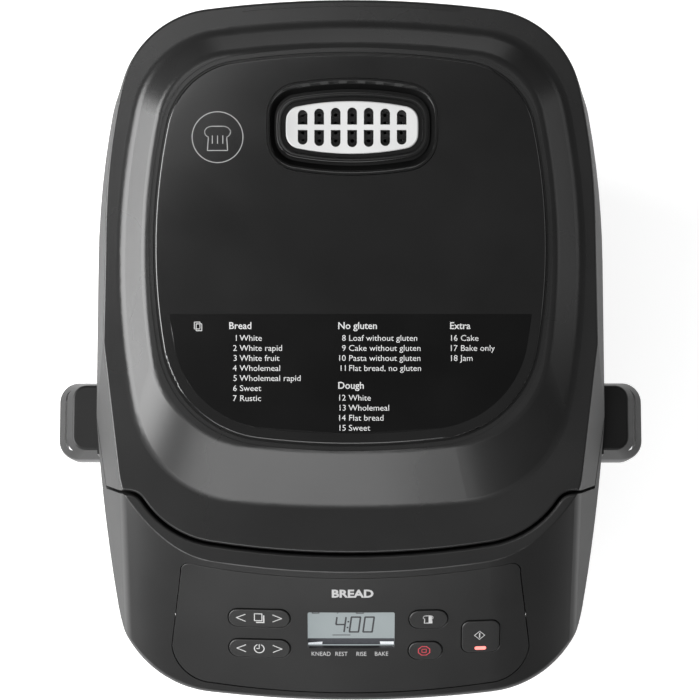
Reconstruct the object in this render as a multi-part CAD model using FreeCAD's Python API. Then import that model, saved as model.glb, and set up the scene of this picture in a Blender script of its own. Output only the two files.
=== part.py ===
import FreeCAD, Part
import os
from math import asin, cos, pi, radians, sin, sqrt

# Bread machine, millimetres. +X is the machine's left-to-right width seen from the front, +Y runs to
# the rear and +Z is up. The origin is on the worktop, under the centre of the bounding box.

V = FreeCAD.Vector

# ---- driving dimensions -------------------------------------------------------------------------
BODY_HALF_WIDTH = 131.2        # at the belt, the widest level, just under the lid
BODY_FRONT = -181.8            # front of the belt at the centre line
BODY_REAR = 168.5              # rear wall at the belt
BELT_Z = 262.0                 # height of the belt
SHELL_BOTTOM_Z = 6.0
SIDE_DRAFT_LOW = 15.4          # how far the sides lean in from the belt to the bottom edge
FRONT_DRAFT_LOW = 17.0
REAR_DRAFT_LOW = 5.5
SIDE_DRAFT_TOP = 13.4          # how far the sides lean in over DRAFT_TOP_HEIGHT above the belt
REAR_DRAFT_TOP = 7.2
DRAFT_TOP_HEIGHT = 100.0
WALL = 2.8                     # plastic wall of the body and the lid

TOP_TILT = 9.0                 # the lid's top falls to the front by this angle
TOP_Z = 319.4                  # height of the shoulder plane at y = 0
FASCIA_TILT = 34.8             # slope of the control fascia
FASCIA_Y = -150.75             # middle of the fascia
FASCIA_Z = 279.0

LID_BOTTOM_Z = 264.0           # horizontal part of the lid's lower edge
DECK_Z = 262.4                 # top of the body's deck around the baking chamber
DECK_THICKNESS = 3.0
SPLIT_GAP = 1.6                # open gap between the lid and the body
ARCH = [(1000.0, radians(4.0)), (90.0, radians(32.5)), (10.0, radians(75.0))]  # radius, end slope
FASCIA_EDGE_R = 4.0            # rounding between the fascia and the walls
RIM_R = 1.2                    # rounding of the edges on the shoulder plane
FOOT_R = 3.0                   # rounding of the casing's bottom edge
CREST_R = 6.0                  # rounding of the raised band's inner edge
BAND_FOOT_R = 8.0              # hollow rounding at the raised band's foot
PLATEAU_HEIGHT = 10.0          # raised middle of the lid above its shoulder
GLOSS_HEIGHT = 11.0            # top of the gloss panel above the shoulder

HINGE_Y = 175.0
HINGE_Z = 268.0
HINGE_PIN_R = 2.5

CENTRE_Y = -4.0                # axis of the kneading drive and centre of the baking chamber
CHAMBER_HALF_X = 99.0
CHAMBER_HALF_Y = 87.0
CHAMBER_R = 38.0
CHAMBER_FLOOR_Z = 68.5
CHAMBER_TOP_Z = DECK_Z - DECK_THICKNESS
SHEET = 1.2                    # sheet metal
HEATER_Z = 94.0                # plane of the heating element
HEATER_R = 3.3
SENSOR_Y = -40.0               # temperature sensor in the left wall
SENSOR_Z = 122.0

PAN_HALF_X = 84.0
PAN_HALF_Y = 68.0
PAN_FLOOR_Z = 97.0
PAN_RIM_Z = 238.0
PAN_WALL = 1.6
BAIL_PIVOT_Z = 243.0
BAIL_REACH = 58.0
BAIL_WIRE_R = 2.5

SHAFT_R = 5.0                  # lower drive shaft
PADDLE_SHAFT_R = 4.0
RUNNING_GAP = 0.05             # radial clearance of the running fits
LARGE_PULLEY_R = 52.0
SMALL_PULLEY_R = 9.5
BELT_WIDTH = 8.0
PULLEY_Z = 24.0
MOTOR_Y = 127.0
MOTOR_R = 31.0
MOTOR_SHAFT_R = 4.0

FEET = [(-72.0, -132.0), (72.0, -132.0), (-68.0, 134.0), (68.0, 134.0)]
BOSSES = [(-86.0, -112.0), (86.0, -112.0), (-84.0, 112.0), (84.0, 112.0)]
GLAND_X = 66.0                 # cord gland in the rear wall
GLAND_Z = 34.0
GLAND_NECK = 7.0                # half the width of its square neck
GLAND_END_Y = 165.0

HANDLE_Y = -34.8               # centre of the side handles
HANDLE_TOP_Z = 246.0
HANDLE_BOTTOM_Z = 216.0
HANDLE_OUT_X = 153.2

DOME_Y = 16.0                  # centre of the lid's inner dome
VENT_X = 0.8                   # centre of the steam vent on the lid's top
VENT_V = 100.2
KEY_GAP = 0.35                 # clearance round every key cap
KEY_PROUD = 0.6                # how far the key caps stand above the fascia
KEY_EDGE_R = 0.5               # rounding of a key cap's top edge
PANEL_EDGE_R = 0.3             # rounding of the fascia panel's edges
HANDLE_EDGE_R = 1.6            # rounding of the handles' outer edges
PANEL_THICKNESS = 3.0
LCD_U = 0.3                    # middle of the display window on the fascia
LCD_V = 3.6
LCD_HALF_U = 21.8
LCD_HALF_V = 10.4
BOARD_DEPTH = 13.0             # control board's underside below the fascia
BOARD_Z = 74.5                 # underside of the power board
BOARD_SCREWS = [(42.0, 96.0), (82.0, 96.0), (42.0, 132.0), (82.0, 132.0)]

# key caps on the fascia: node, centre u, centre v, width, height, corner radius
KEYS = [
    ("menu_key", -46.0, 10.3, 30.8, 10.2, 5.0),
    ("timer_key", -46.0, -7.3, 30.8, 10.2, 5.0),
    ("size_key", 39.2, 9.9, 19.2, 10.2, 5.0),
    ("stop_key", 37.8, -8.4, 16.8, 10.0, 4.9),
    ("start_key", 65.7, -1.0, 18.9, 18.2, 4.0),
]

TOP = FreeCAD.Placement(V(0, 0, TOP_Z), FreeCAD.Rotation(V(1, 0, 0), TOP_TILT))
FASCIA = FreeCAD.Placement(V(0, FASCIA_Y, FASCIA_Z), FreeCAD.Rotation(V(1, 0, 0), FASCIA_TILT))
FAR = 420.0                    # longer than anything in the model


# ---- small helpers ------------------------------------------------------------------------------
def placed(shape, placement):
    moved = shape.copy()
    moved.Placement = placement.multiply(moved.Placement)
    return moved


def box(x0, x1, y0, y1, z0, z1):
    return Part.makeBox(x1 - x0, y1 - y0, z1 - z0, V(x0, y0, z0))


def rod(r, start, end):
    axis = end.sub(start)
    return Part.makeCylinder(r, axis.Length, start, axis)


def upright(r, x, y, z0, z1):
    return rod(r, V(x, y, z0), V(x, y, z1))


def ring(r_out, r_in, x, y, z0, z1):
    return upright(r_out, x, y, z0, z1).cut(upright(r_in, x, y, z0 - 1, z1 + 1))


def fuse(shapes):
    return shapes[0].multiFuse(shapes[1:]).removeSplitter() if len(shapes) > 1 else shapes[0]


def arc3(a, b, c):
    return Part.Arc(a, b, c).toShape()


def line(a, b):
    return Part.LineSegment(a, b).toShape()


def on_circle(centre, radius, direction):
    return centre.add(V(direction).normalize().multiply(radius))


def corner_centre(side_c, side_r, end_c, end_r, corner_r, sign):
    """Centre of the corner arc that touches a side arc and an end arc from inside."""
    a = side_r - corner_r
    b = end_r - corner_r
    gap = end_c.sub(side_c)
    d = gap.Length
    along = (a * a - b * b + d * d) / (2 * d)
    off = sqrt(max(a * a - along * along, 0.0))
    unit = V(gap).normalize()
    normal = V(-unit.y, unit.x, 0)
    picks = [side_c.add(unit * along).add(normal * (off * s)) for s in (1, -1)]
    return max(picks, key=lambda p: p.x + sign * p.y)


def pillow(half_width, front, rear, side_y, side_r, front_r, rear_r, corner_f, corner_r, z=0.0):
    """Closed outline of eight tangent arcs, mirrored about x = 0: bulging sides, front and rear."""
    side_c = V(half_width - side_r, side_y, 0)
    front_c = V(0, front + front_r, 0)
    rear_c = V(0, rear - rear_r, 0)
    cf = corner_centre(side_c, side_r, front_c, front_r, corner_f, -1)
    cr = corner_centre(side_c, side_r, rear_c, rear_r, corner_r, 1)
    side_f = on_circle(side_c, side_r, cf.sub(side_c))
    side_b = on_circle(side_c, side_r, cr.sub(side_c))
    end_f = on_circle(front_c, front_r, cf.sub(front_c))
    end_b = on_circle(rear_c, rear_r, cr.sub(rear_c))
    mid_f = on_circle(cf, corner_f, side_f.add(end_f).sub(cf * 2))
    mid_b = on_circle(cr, corner_r, side_b.add(end_b).sub(cr * 2))
    right = [end_f, mid_f, side_f, V(half_width, side_y, 0), side_b, mid_b, end_b]
    left = [V(-p.x, p.y, 0) for p in reversed(right)]
    loop = [V(0, front, 0)] + right + [V(0, rear, 0)] + left
    loop = [V(p.x, p.y, z) for p in loop]
    edges = [arc3(loop[-1], loop[0], loop[1])]
    edges += [arc3(loop[i], loop[i + 1], loop[i + 2]) for i in range(1, len(loop) - 2, 2)]
    return Part.Wire(edges)


def rounded(half_x, half_y, r, z, cx=0.0, cy=0.0):
    """Rounded rectangle outline."""
    k = r * (1 - sqrt(0.5))
    x0, x1, y0, y1 = cx - half_x, cx + half_x, cy - half_y, cy + half_y
    return Part.Wire([
        line(V(x0 + r, y0, z), V(x1 - r, y0, z)),
        arc3(V(x1 - r, y0, z), V(x1 - k, y0 + k, z), V(x1, y0 + r, z)),
        line(V(x1, y0 + r, z), V(x1, y1 - r, z)),
        arc3(V(x1, y1 - r, z), V(x1 - k, y1 - k, z), V(x1 - r, y1, z)),
        line(V(x1 - r, y1, z), V(x0 + r, y1, z)),
        arc3(V(x0 + r, y1, z), V(x0 + k, y1 - k, z), V(x0, y1 - r, z)),
        line(V(x0, y1 - r, z), V(x0, y0 + r, z)),
        arc3(V(x0, y0 + r, z), V(x0 + k, y0 + k, z), V(x0 + r, y0, z)),
    ])


def prism(wire, height):
    return Part.Face(wire).extrude(V(0, 0, height))


def block(half_x, half_y, r, z0, z1, cx=0.0, cy=0.0):
    return prism(rounded(half_x, half_y, r, z0, cx, cy), z1 - z0)


def frame_ring(half_x, half_y, r, wall, z0, z1, cx=0.0, cy=0.0):
    """Rounded rectangular ring whose wall lies inside the given outline."""
    outer = block(half_x, half_y, r, z0, z1, cx, cy)
    return outer.cut(block(half_x - wall, half_y - wall, r - wall, z0 - 1, z1 + 1, cx, cy))


def mirrored(shape):
    return shape.mirror(V(0, 0, 0), V(1, 0, 0))


# ---- outer form -----------------------------------------------------------------------------------
def shouldered(half_width, front, rear, side, shoulder, end_radii, corners, z):
    """Closed outline with sides that are straight behind the middle and then bend in to the rear.

    side and shoulder are (y, radius) of the arcs in front of and behind the straight stretch.
    """
    side_c = V(half_width - side[1], side[0], 0)
    bend_c = V(half_width - shoulder[1], shoulder[0], 0)
    front_c = V(0, front + end_radii[0], 0)
    rear_c = V(0, rear - end_radii[1], 0)
    cf = corner_centre(side_c, side[1], front_c, end_radii[0], corners[0], -1)
    cr = corner_centre(bend_c, shoulder[1], rear_c, end_radii[1], corners[1], 1)
    side_f = on_circle(side_c, side[1], cf.sub(side_c))
    side_m = on_circle(side_c, side[1], side_f.sub(side_c).normalize().add(V(1, 0, 0)))
    bend_b = on_circle(bend_c, shoulder[1], cr.sub(bend_c))
    bend_m = on_circle(bend_c, shoulder[1], bend_b.sub(bend_c).normalize().add(V(1, 0, 0)))
    end_f = on_circle(front_c, end_radii[0], cf.sub(front_c))
    end_b = on_circle(rear_c, end_radii[1], cr.sub(rear_c))
    mid_f = on_circle(cf, corners[0], side_f.add(end_f).sub(cf * 2))
    mid_b = on_circle(cr, corners[1], bend_b.add(end_b).sub(cr * 2))
    right = [end_f, mid_f, side_f, side_m, V(half_width, side[0], 0), V(half_width, shoulder[0], 0),
             bend_m, bend_b, mid_b, end_b]
    a = [V(p.x, p.y, z) for p in right]
    b = [V(-p.x, p.y, z) for p in right]
    return Part.Wire([
        arc3(b[0], V(0, front, z), a[0]), arc3(a[0], a[1], a[2]), arc3(a[2], a[3], a[4]),
        line(a[4], a[5]), arc3(a[5], a[6], a[7]), arc3(a[7], a[8], a[9]),
        arc3(a[9], V(0, rear, z), b[9]), arc3(b[9], b[8], b[7]), arc3(b[7], b[6], b[5]),
        line(b[5], b[4]), arc3(b[4], b[3], b[2]), arc3(b[2], b[1], b[0]),
    ])


def plan(inset, z, side_in=0.0, front_in=0.0, rear_in=0.0, side=(-30.0, 505.0),
         shoulder=(45.0, 480.0), rear_r=800.0):
    """Plan outline of the casing at one level."""
    return shouldered(BODY_HALF_WIDTH - side_in - inset, BODY_FRONT + front_in + inset,
                      BODY_REAR - rear_in - inset, (side[0], side[1] - inset),
                      (shoulder[0], shoulder[1] - inset), (620.0 - inset, rear_r - inset),
                      (55.2 - inset, 49.0 - inset), z)


def casing(inset):
    """The casing's walls, leaning in above and below the belt."""
    low = plan(inset, SHELL_BOTTOM_Z, SIDE_DRAFT_LOW, FRONT_DRAFT_LOW, REAR_DRAFT_LOW)
    belt = plan(inset, BELT_Z)
    high = plan(inset, BELT_Z + DRAFT_TOP_HEIGHT, SIDE_DRAFT_TOP, 0.0, REAR_DRAFT_TOP,
                (12.0, 480.0), (60.0, 260.0), 520.0)
    lower = Part.makeLoft([low, belt], True, True)
    upper = Part.makeLoft([belt, high], True, True)
    return lower.fuse(upper)


def arch(inset):
    """Everything under the fascia's arched slope, an extrusion along the slope."""
    crest = V(0, 0, 0)
    start = V(0, 0, -inset)
    angle = 0.0
    edges = []
    for radius, slope in ARCH:
        centre = crest.sub(V(sin(angle), 0, cos(angle)) * radius)
        mid = (angle + slope) / 2
        end = centre.add(V(sin(slope), 0, cos(slope)) * (radius - inset))
        edges.append(arc3(start, centre.add(V(sin(mid), 0, cos(mid)) * (radius - inset)), end))
        crest = centre.add(V(sin(slope), 0, cos(slope)) * radius)
        start = end
        angle = slope
    foot = start.add(V(cos(angle), 0, -sin(angle)) * FAR)
    edges += [line(start, foot), line(foot, V(0, 0, foot.z)), line(V(0, 0, foot.z), V(0, 0, -inset))]
    half = Part.Face(Part.Wire(edges)).extrude(V(0, 2 * FAR, 0))
    half.translate(V(0, -FAR, 0))
    return placed(half.fuse(mirrored(half)).removeSplitter(), FASCIA)


def under_top(inset):
    """Half space under the lid's shoulder plane."""
    return placed(box(-FAR, FAR, -FAR, FAR, -FAR, -inset), TOP)


def samples(edge):
    first = edge.FirstParameter
    step = (edge.LastParameter - first) / 4
    return [edge.valueAt(first + step * i) for i in range(5)]


def edges_on(shape, guides):
    """Edges of a shape that lie on every one of the guide shapes."""
    found = []
    for edge in shape.Edges:
        points = [Part.Vertex(p) for p in samples(edge)[1:-1]]
        if all(guide.distToShape(p)[0] < 0.02 for guide in guides for p in points):
            found.append(edge)
    return found


def edges_in_plane(shape, placement):
    inverse = placement.inverse()
    return [e for e in shape.Edges if all(abs(inverse.multVec(p).z) < 0.02 for p in samples(e))]


def outer_form(inset):
    return casing(inset).common(arch(inset)).common(under_top(inset))


def soft_form():
    """Outer form with the fascia's edge against the walls rounded."""
    walls = casing(0.0)
    slope = arch(0.0)
    form = walls.common(slope).common(under_top(0.0))
    skins = [Part.makeCompound(walls.Faces), Part.makeCompound(slope.Faces)]
    return form.makeFillet(FASCIA_EDGE_R, edges_on(form, skins))


def split_edges(offset):
    """Half of the lid's front line on the shoulder plane, from the centre line outwards."""
    r_nose = 450.0 + offset
    r_cheek = 50.0 + offset
    r_bend = 9.0 - offset
    a1 = radians(8.95)
    a2 = radians(56.3)
    a3 = radians(3.0)
    nose_c = V(0, -112.7 + 450.0, 0)
    p0 = nose_c.add(V(0, -r_nose, 0))
    p1 = nose_c.add(V(sin(a1), -cos(a1), 0) * r_nose)
    m1 = nose_c.add(V(sin(a1 / 2), -cos(a1 / 2), 0) * r_nose)
    cheek_c = p1.add(V(-sin(a1), cos(a1), 0) * r_cheek)
    am = (a1 + a2) / 2
    m2 = cheek_c.add(V(sin(am), -cos(am), 0) * r_cheek)
    p2 = cheek_c.add(V(sin(a2), -cos(a2), 0) * r_cheek)
    bend_c = p2.add(V(sin(a2), -cos(a2), 0) * r_bend)
    an = (a2 + a3) / 2
    m3 = bend_c.add(V(-sin(an), cos(an), 0) * r_bend)
    p3 = bend_c.add(V(-sin(a3), cos(a3), 0) * r_bend)
    p4 = p3.add(V(cos(a3), sin(a3), 0) * 60.0)
    return [p0, m1, p1, m2, p2, m3, p3, p4]


def behind_split(offset, floor_z):
    """Space behind the lid's front line and above a level; a positive offset moves it outwards."""
    right = split_edges(offset)
    left = [V(-p.x, p.y, 0) for p in right]
    wire = Part.Wire([
        arc3(left[2], right[0], right[2]),
        arc3(right[2], right[3], right[4]),
        arc3(right[4], right[5], right[6]),
        line(right[6], right[7]),
        line(right[7], V(right[7].x, FAR, 0)),
        line(V(right[7].x, FAR, 0), V(left[7].x, FAR, 0)),
        line(V(left[7].x, FAR, 0), left[7]),
        line(left[7], left[6]),
        arc3(left[6], left[5], left[4]),
        arc3(left[4], left[3], left[2]),
    ])
    solid = prism(wire, 2 * FAR)
    solid.translate(V(0, 0, -FAR))
    return placed(solid, TOP).common(box(-FAR, FAR, -FAR, FAR, floor_z, FAR + 60))


# ---- lid ------------------------------------------------------------------------------------------
def band_outline(blend, height, inset=0.0):
    """Outline of the lid's raised band: blend 0 is its foot on the shoulder, 1 its inner edge."""
    foot = [114.6, -88.5, 151.9, 32.8, 383.0, 641.0, 517.0, 55.1, 46.4]
    crest = [102.3, -61.0, 140.8, 36.8, 343.0, 512.0, 503.0, 52.6, 39.0]
    m = [f + (c - f) * blend for f, c in zip(foot, crest)]
    return pillow(m[0] - inset, m[1] + inset, m[2] - inset, m[3], m[4] - inset, m[5] - inset,
                  m[6] - inset, m[7] - inset, m[8] - inset, height)


def gloss_outline(inset, height):
    return pillow(96.9 - inset, -57.3 + inset, 136.3 - inset, 40.4, 297 - inset, 376 - inset,
                  399 - inset, 54.0 - inset, 39.1 - inset, height)


def plateau(inset, height):
    foot = band_outline(0.0, 0.0, inset)
    crest = band_outline(1.0, height, inset)
    body = Part.makeLoft([foot, crest], True, True)
    return body.fuse(prism(band_outline(0.0, -2.0, inset), 2.0))


def vent_outline(half_x, half_y, corner, height):
    wire = pillow(half_x, -half_y, half_y, 0.0, 2.0 * half_x, 4.2 * half_x, 4.2 * half_x,
                  corner, corner, height)
    wire.translate(V(VENT_X, VENT_V, 0))
    return wire


def lid_shell():
    outer = soft_form().common(behind_split(-SPLIT_GAP / 2, LID_BOTTOM_Z))
    outer = outer.makeFillet(RIM_R, edges_in_plane(outer, TOP))
    outer = outer.fuse(placed(plateau(0.0, PLATEAU_HEIGHT), TOP))
    foot = placed(band_outline(0.0, 0.0), TOP)
    crest = placed(band_outline(1.0, PLATEAU_HEIGHT), TOP)
    outer = outer.makeFillet(BAND_FOOT_R, edges_on(outer, [foot]))
    outer = outer.makeFillet(CREST_R, edges_on(outer, [crest]))
    hollow = outer_form(WALL).common(behind_split(-SPLIT_GAP / 2 - WALL, LID_BOTTOM_Z - 2))
    lift = placed(plateau(WALL, PLATEAU_HEIGHT - WALL - 2.0), TOP)
    shell = outer.cut(hollow).cut(lift)
    shell = shell.fuse(placed(prism(vent_outline(45.5, 27.0, 19.0, 1.2), 7.0), TOP))
    shell = shell.cut(placed(prism(gloss_outline(-3.3, PLATEAU_HEIGHT - 0.5), 10.0), TOP))
    seat = placed(prism(gloss_outline(-1.1, GLOSS_HEIGHT - 2.8), 10.0), TOP)
    duct_hole = placed(prism(vent_outline(30.0, 11.0, 6.0, -60.0), 90.0), TOP)
    vent_well = placed(prism(vent_outline(42.4, 24.0, 16.0, 3.8), 20.0), TOP)
    return shell.cut(seat).cut(vent_well).cut(duct_hole)


def gloss_panel():
    slab = prism(gloss_outline(0.0, GLOSS_HEIGHT - 2.6), 2.6)
    rim = [e for e in slab.Edges if min(v.Z for v in e.Vertexes) > GLOSS_HEIGHT - 0.01]
    slab = slab.makeFillet(1.0, rim)
    return placed(slab.cut(prism(vent_outline(42.7, 24.3, 16.3, 0.0), 20.0)), TOP)


def vent_bezel():
    """Well round the steam vent: an outer lip, a sloping floor and a raised inner ring."""
    tray = prism(vent_outline(42.3, 23.9, 15.9, 4.0), 7.4)
    slope_low = vent_outline(38.6, 19.0, 12.0, 6.2)
    slope_high = vent_outline(41.4, 23.0, 15.2, 11.41)
    tray = tray.cut(Part.makeLoft([slope_low, slope_high], True, True))
    collar = prism(vent_outline(37.8, 17.7, 11.2, 4.0), 4.8)
    collar = collar.makeFillet(0.6, [e for e in collar.Edges if min(v.Z for v in e.Vertexes) > 8.7])
    pocket_low = vent_outline(34.6, 14.6, 8.6, 5.6)
    pocket_high = vent_outline(36.6, 16.5, 10.2, 8.81)
    collar = collar.cut(Part.makeLoft([pocket_low, pocket_high], True, True))
    throat = prism(vent_outline(30.2, 11.2, 6.0, 0.0), 10.0)
    seat = prism(vent_outline(33.3, 13.4, 7.4, 5.0), 10.0)
    return placed(tray.fuse(collar).cut(throat).cut(seat), TOP)


def vent_slots(bottom, top):
    """Two rows of slots, straight at the middle bar and round at the outer ends."""
    pitch = 8.2
    half = 2.4
    slots = []
    for column in range(-3, 4):
        reach = 9.9 - 0.14 * column * column
        for side in (-1, 1):
            x = VENT_X + column * pitch
            inner = VENT_V + side * 1.3
            outer = VENT_V + side * (reach - half)
            slots.append(box(x - half, x + half, min(inner, outer), max(inner, outer), bottom, top))
            slots.append(upright(half, x, outer, bottom, top))
    return slots


def steam_grille():
    plate = prism(vent_outline(33.0, 13.1, 7.2, 5.0), 2.4)
    plate = plate.makeFillet(0.8, [e for e in plate.Edges if min(v.Z for v in e.Vertexes) > 7.3])
    return placed(plate.cut(Part.makeCompound(vent_slots(0.0, 12.0))), TOP)


def steam_duct():
    """Duct from the lid's inner plate up to the vent, with a perforated baffle across it."""
    wall = prism(vent_outline(29.8, 10.8, 5.8, -10.0), 14.0)
    wall = wall.cut(prism(vent_outline(28.0, 9.2, 4.4, -11.0), 16.0))
    baffle = prism(vent_outline(28.4, 9.6, 4.6, 0.6), 1.2)
    holes = []
    for column in range(-3, 4):
        for row in (-6.4, -2.4, 2.4, 6.4):
            holes.append(upright(0.9, VENT_X + column * 8.2, VENT_V + row, 0.0, 3.0))
    return placed(wall.fuse(baffle).cut(Part.makeCompound(holes)), TOP)


def dome(inset, drop):
    """Space under the lid's inner plate."""
    column = prism(rounded(100.0 - inset, 108.0 - inset, 38.0 - inset, 260.0, 0.0, DOME_Y), 120.0)
    return column.common(placed(box(-FAR, FAR, -FAR, FAR, -FAR, -drop), TOP))


def lid_inner_plate():
    """Pressed metal dome that closes the lid's underside over the pan."""
    plate = dome(0.0, 10.0).cut(dome(SHEET, 10.0 + SHEET))
    plate = plate.cut(box(-FAR, FAR, -FAR, FAR, 0, LID_BOTTOM_Z + 0.8))
    flange = frame_ring(103.5, 111.5, 41.5, 4.7, LID_BOTTOM_Z + 0.8, LID_BOTTOM_Z + 0.8 + SHEET,
                        0.0, DOME_Y)
    vents = [box(x - 2.0, x + 2.0, VENT_V - 8.0, VENT_V + 8.0, -30.0, 5.0) for x in range(-24, 25, 8)]
    return plate.fuse(flange).cut(placed(Part.makeCompound(vents), TOP))


def lid_frame():
    """Plastic ring between the lid's shell and its inner plate."""
    fill = outer_form(WALL + 0.2).common(behind_split(-SPLIT_GAP / 2 - WALL - 0.2, LID_BOTTOM_Z))
    fill = fill.common(box(-FAR, FAR, -FAR, FAR, LID_BOTTOM_Z, LID_BOTTOM_Z + 5.0))
    fill = fill.cut(block(100.3, 108.3, 38.3, 250, 300, 0.0, DOME_Y))
    return fill.cut(block(103.8, 111.8, 41.8, 260, LID_BOTTOM_Z + 0.8 + SHEET, 0.0, DOME_Y))


def lid_seal():
    """Silicone gasket under the lid's flange, facing the deck round the chamber."""
    return frame_ring(103.3, 111.3, 41.3, 2.8, DECK_Z + 0.3, LID_BOTTOM_Z + 0.8, 0.0, DOME_Y)


def hinge_arm():
    """Knuckle that carries the lid on the hinge pin."""
    barrel = rod(5.7, V(-39.4, HINGE_Y, HINGE_Z), V(39.4, HINGE_Y, HINGE_Z))
    web = box(-39.4, 39.4, 160.0, HINGE_Y, LID_BOTTOM_Z + 0.2, HINGE_Z + 5.4)
    bore = rod(HINGE_PIN_R + RUNNING_GAP, V(-60, HINGE_Y, HINGE_Z), V(60, HINGE_Y, HINGE_Z))
    return barrel.fuse(web).cut(casing(0.0)).cut(bore)


# ---- body -----------------------------------------------------------------------------------------
def panel_prism(grow, bottom, top):
    """Column over the control panel's outline on the fascia."""
    half_top = 84.6 + grow
    half_low = 90.6 + grow
    v_top = 33.7 + grow
    v_low = -33.2 - grow
    hollow_r = 470.0
    belly_r = 545.0
    corner_top = V(half_top - 4.4, v_top + 6.6, bottom)
    side_low = V(half_low, -9.0, bottom)
    low_start = V(70.5, v_low + 70.5 ** 2 / (2 * belly_r), bottom)
    side_top = V(half_top + 0.4, corner_top.y - 6.0, bottom)
    corner_mid = V(half_top - 0.8, corner_top.y - 1.6, bottom)
    low_mid = V(half_low - 6.2, low_start.y + 6.0, bottom)
    top_mid = V(0, corner_top.y - corner_top.x ** 2 / (2 * hollow_r) + 0.25, bottom)

    def flip(p):
        return V(-p.x, p.y, p.z)
    wire = Part.Wire([
        arc3(flip(corner_top), top_mid, corner_top),
        arc3(corner_top, corner_mid, side_top),
        line(side_top, side_low),
        arc3(side_low, low_mid, low_start),
        arc3(low_start, V(0, v_low, bottom), flip(low_start)),
        arc3(flip(low_start), flip(low_mid), flip(side_low)),
        line(flip(side_low), flip(side_top)),
        arc3(flip(side_top), flip(corner_mid), flip(corner_top)),
    ])
    return placed(prism(wire, top - bottom), FASCIA)


def key_prism(u, v, width, height, corner, grow, bottom, top):
    half_x = width / 2 + grow
    half_y = height / 2 + grow
    return placed(block(half_x, half_y, corner + grow, bottom, top, u, v), FASCIA)


def lcd_prism(grow, bottom, top):
    half_u = LCD_HALF_U + grow
    half_v = LCD_HALF_V + grow
    return placed(block(half_u, half_v, 0.8 + grow, bottom, top, LCD_U, LCD_V), FASCIA)


def screw_bosses():
    """Screw tubes inside the shell, each on a rib from the side wall."""
    tubes = []
    for x, y in BOSSES:
        wall_x = 124.0 if x > 0 else -124.0
        rib = box(min(x, wall_x), max(x, wall_x), y - 1.2, y + 1.2, 9.4, 30.0)
        tubes.append(ring(4.6, 1.5, x, y, 9.4, 34.0).fuse(rib.cut(upright(3.0, x, y, 0, 60))))
    return fuse(tubes).common(casing(WALL / 2))


def body_shell():
    outer = soft_form().cut(behind_split(SPLIT_GAP / 2, DECK_Z))
    outer = outer.makeFillet(RIM_R, edges_in_plane(outer, TOP))
    outer = outer.makeFillet(FOOT_R, [e for e in outer.Edges if e.BoundBox.ZMax < SHELL_BOTTOM_Z + 0.1])
    above_deck = behind_split(SPLIT_GAP / 2 + WALL, DECK_Z - DECK_THICKNESS)
    hollow = outer_form(WALL).cut(above_deck)
    floor_cut = box(-FAR, FAR, -FAR, FAR, SHELL_BOTTOM_Z - 5, SHELL_BOTTOM_Z + 0.01)
    shell = outer.cut(hollow).cut(floor_cut)
    mouth = block(CHAMBER_HALF_X - SHEET, CHAMBER_HALF_Y - SHEET, CHAMBER_R - SHEET,
                  DECK_Z - DECK_THICKNESS - 2, DECK_Z + 2, 0.0, CENTRE_Y)
    shell = shell.cut(mouth)
    shell = shell.cut(deck_room())
    recess = panel_prism(0.35, -40.0, 20.0).cut(arch(PANEL_THICKNESS + 0.3))
    window = panel_prism(-2.6, -60.0, 20.0)
    gland_hole = gland_neck(130.0, 180.0)
    shell = shell.cut(recess).cut(window).cut(gland_hole).fuse(screw_bosses())
    return shell.cut(Part.makeCompound(rear_louvres()))


def deck_room():
    """The level slab inside the walls that the deck plate fills."""
    slab = box(-FAR, FAR, -FAR, FAR, DECK_Z - DECK_THICKNESS, DECK_Z)
    return slab.common(outer_form(WALL)).common(behind_split(SPLIT_GAP / 2, DECK_Z - 3 * DECK_THICKNESS))


def body_deck():
    """Deck plate round the mouth of the baking chamber."""
    mouth = block(CHAMBER_HALF_X - SHEET, CHAMBER_HALF_Y - SHEET, CHAMBER_R - SHEET,
                  DECK_Z - DECK_THICKNESS - 2, DECK_Z + 2, 0.0, CENTRE_Y)
    return deck_room().cut(mouth)


def rear_louvres():
    """Upright cooling slots through the rear wall, behind the motor."""
    slots = []
    for index in range(9):
        x = -24.0 + 6.0 * index
        slots.append(box(x - 1.5, x + 1.5, 140.0, 190.0, 88.0, 132.0))
        slots += [rod(1.5, V(x, 140.0, z), V(x, 190.0, z)) for z in (88.0, 132.0)]
    return slots


def control_panel():
    """Inset fascia plate with an opening for each key and for the display."""
    face = arch(0.2)
    plate = panel_prism(0.0, -40.0, 20.0).common(face).cut(arch(PANEL_THICKNESS))
    for key_place in KEYS:
        plate = plate.cut(key_prism(*key_place[1:], KEY_GAP, -30.0, 20.0))
    plate = plate.makeFillet(PANEL_EDGE_R, edges_on(plate, [Part.makeCompound(face.Faces)]))
    return plate.cut(lcd_prism(0.1, -30.0, 20.0))


def key_cap(u, v, width, height, corner):
    """Key cap whose top follows the fascia, with a flange under the panel and a plunger."""
    cap = key_prism(u, v, width, height, corner, 0.0, -12.0, 20.0)
    crown = arch(0.2 - KEY_PROUD)
    cap = cap.common(crown).cut(arch(PANEL_THICKNESS + 1.4))
    cap = cap.makeFillet(KEY_EDGE_R, edges_on(cap, [Part.makeCompound(crown.Faces)]))
    flange = key_prism(u, v, width, height, corner, 1.0, -12.0, 20.0)
    flange = flange.common(arch(PANEL_THICKNESS + 0.9)).cut(arch(PANEL_THICKNESS + 2.0))
    return cap.fuse(flange)


def key_switch_places(name, u, v):
    """A rocker has a switch under each end, a push key one under its middle."""
    if name in ("menu_key", "timer_key"):
        return [(u - 10.5, v), (u + 10.5, v)]
    return [(u, v)]


def key_plungers(name, u, v):
    stems = [upright(1.6, x, y, -9.0, -4.0) for x, y in key_switch_places(name, u, v)]
    return [placed(stem, FASCIA).common(arch(PANEL_THICKNESS + 1.6)) for stem in stems]


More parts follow.
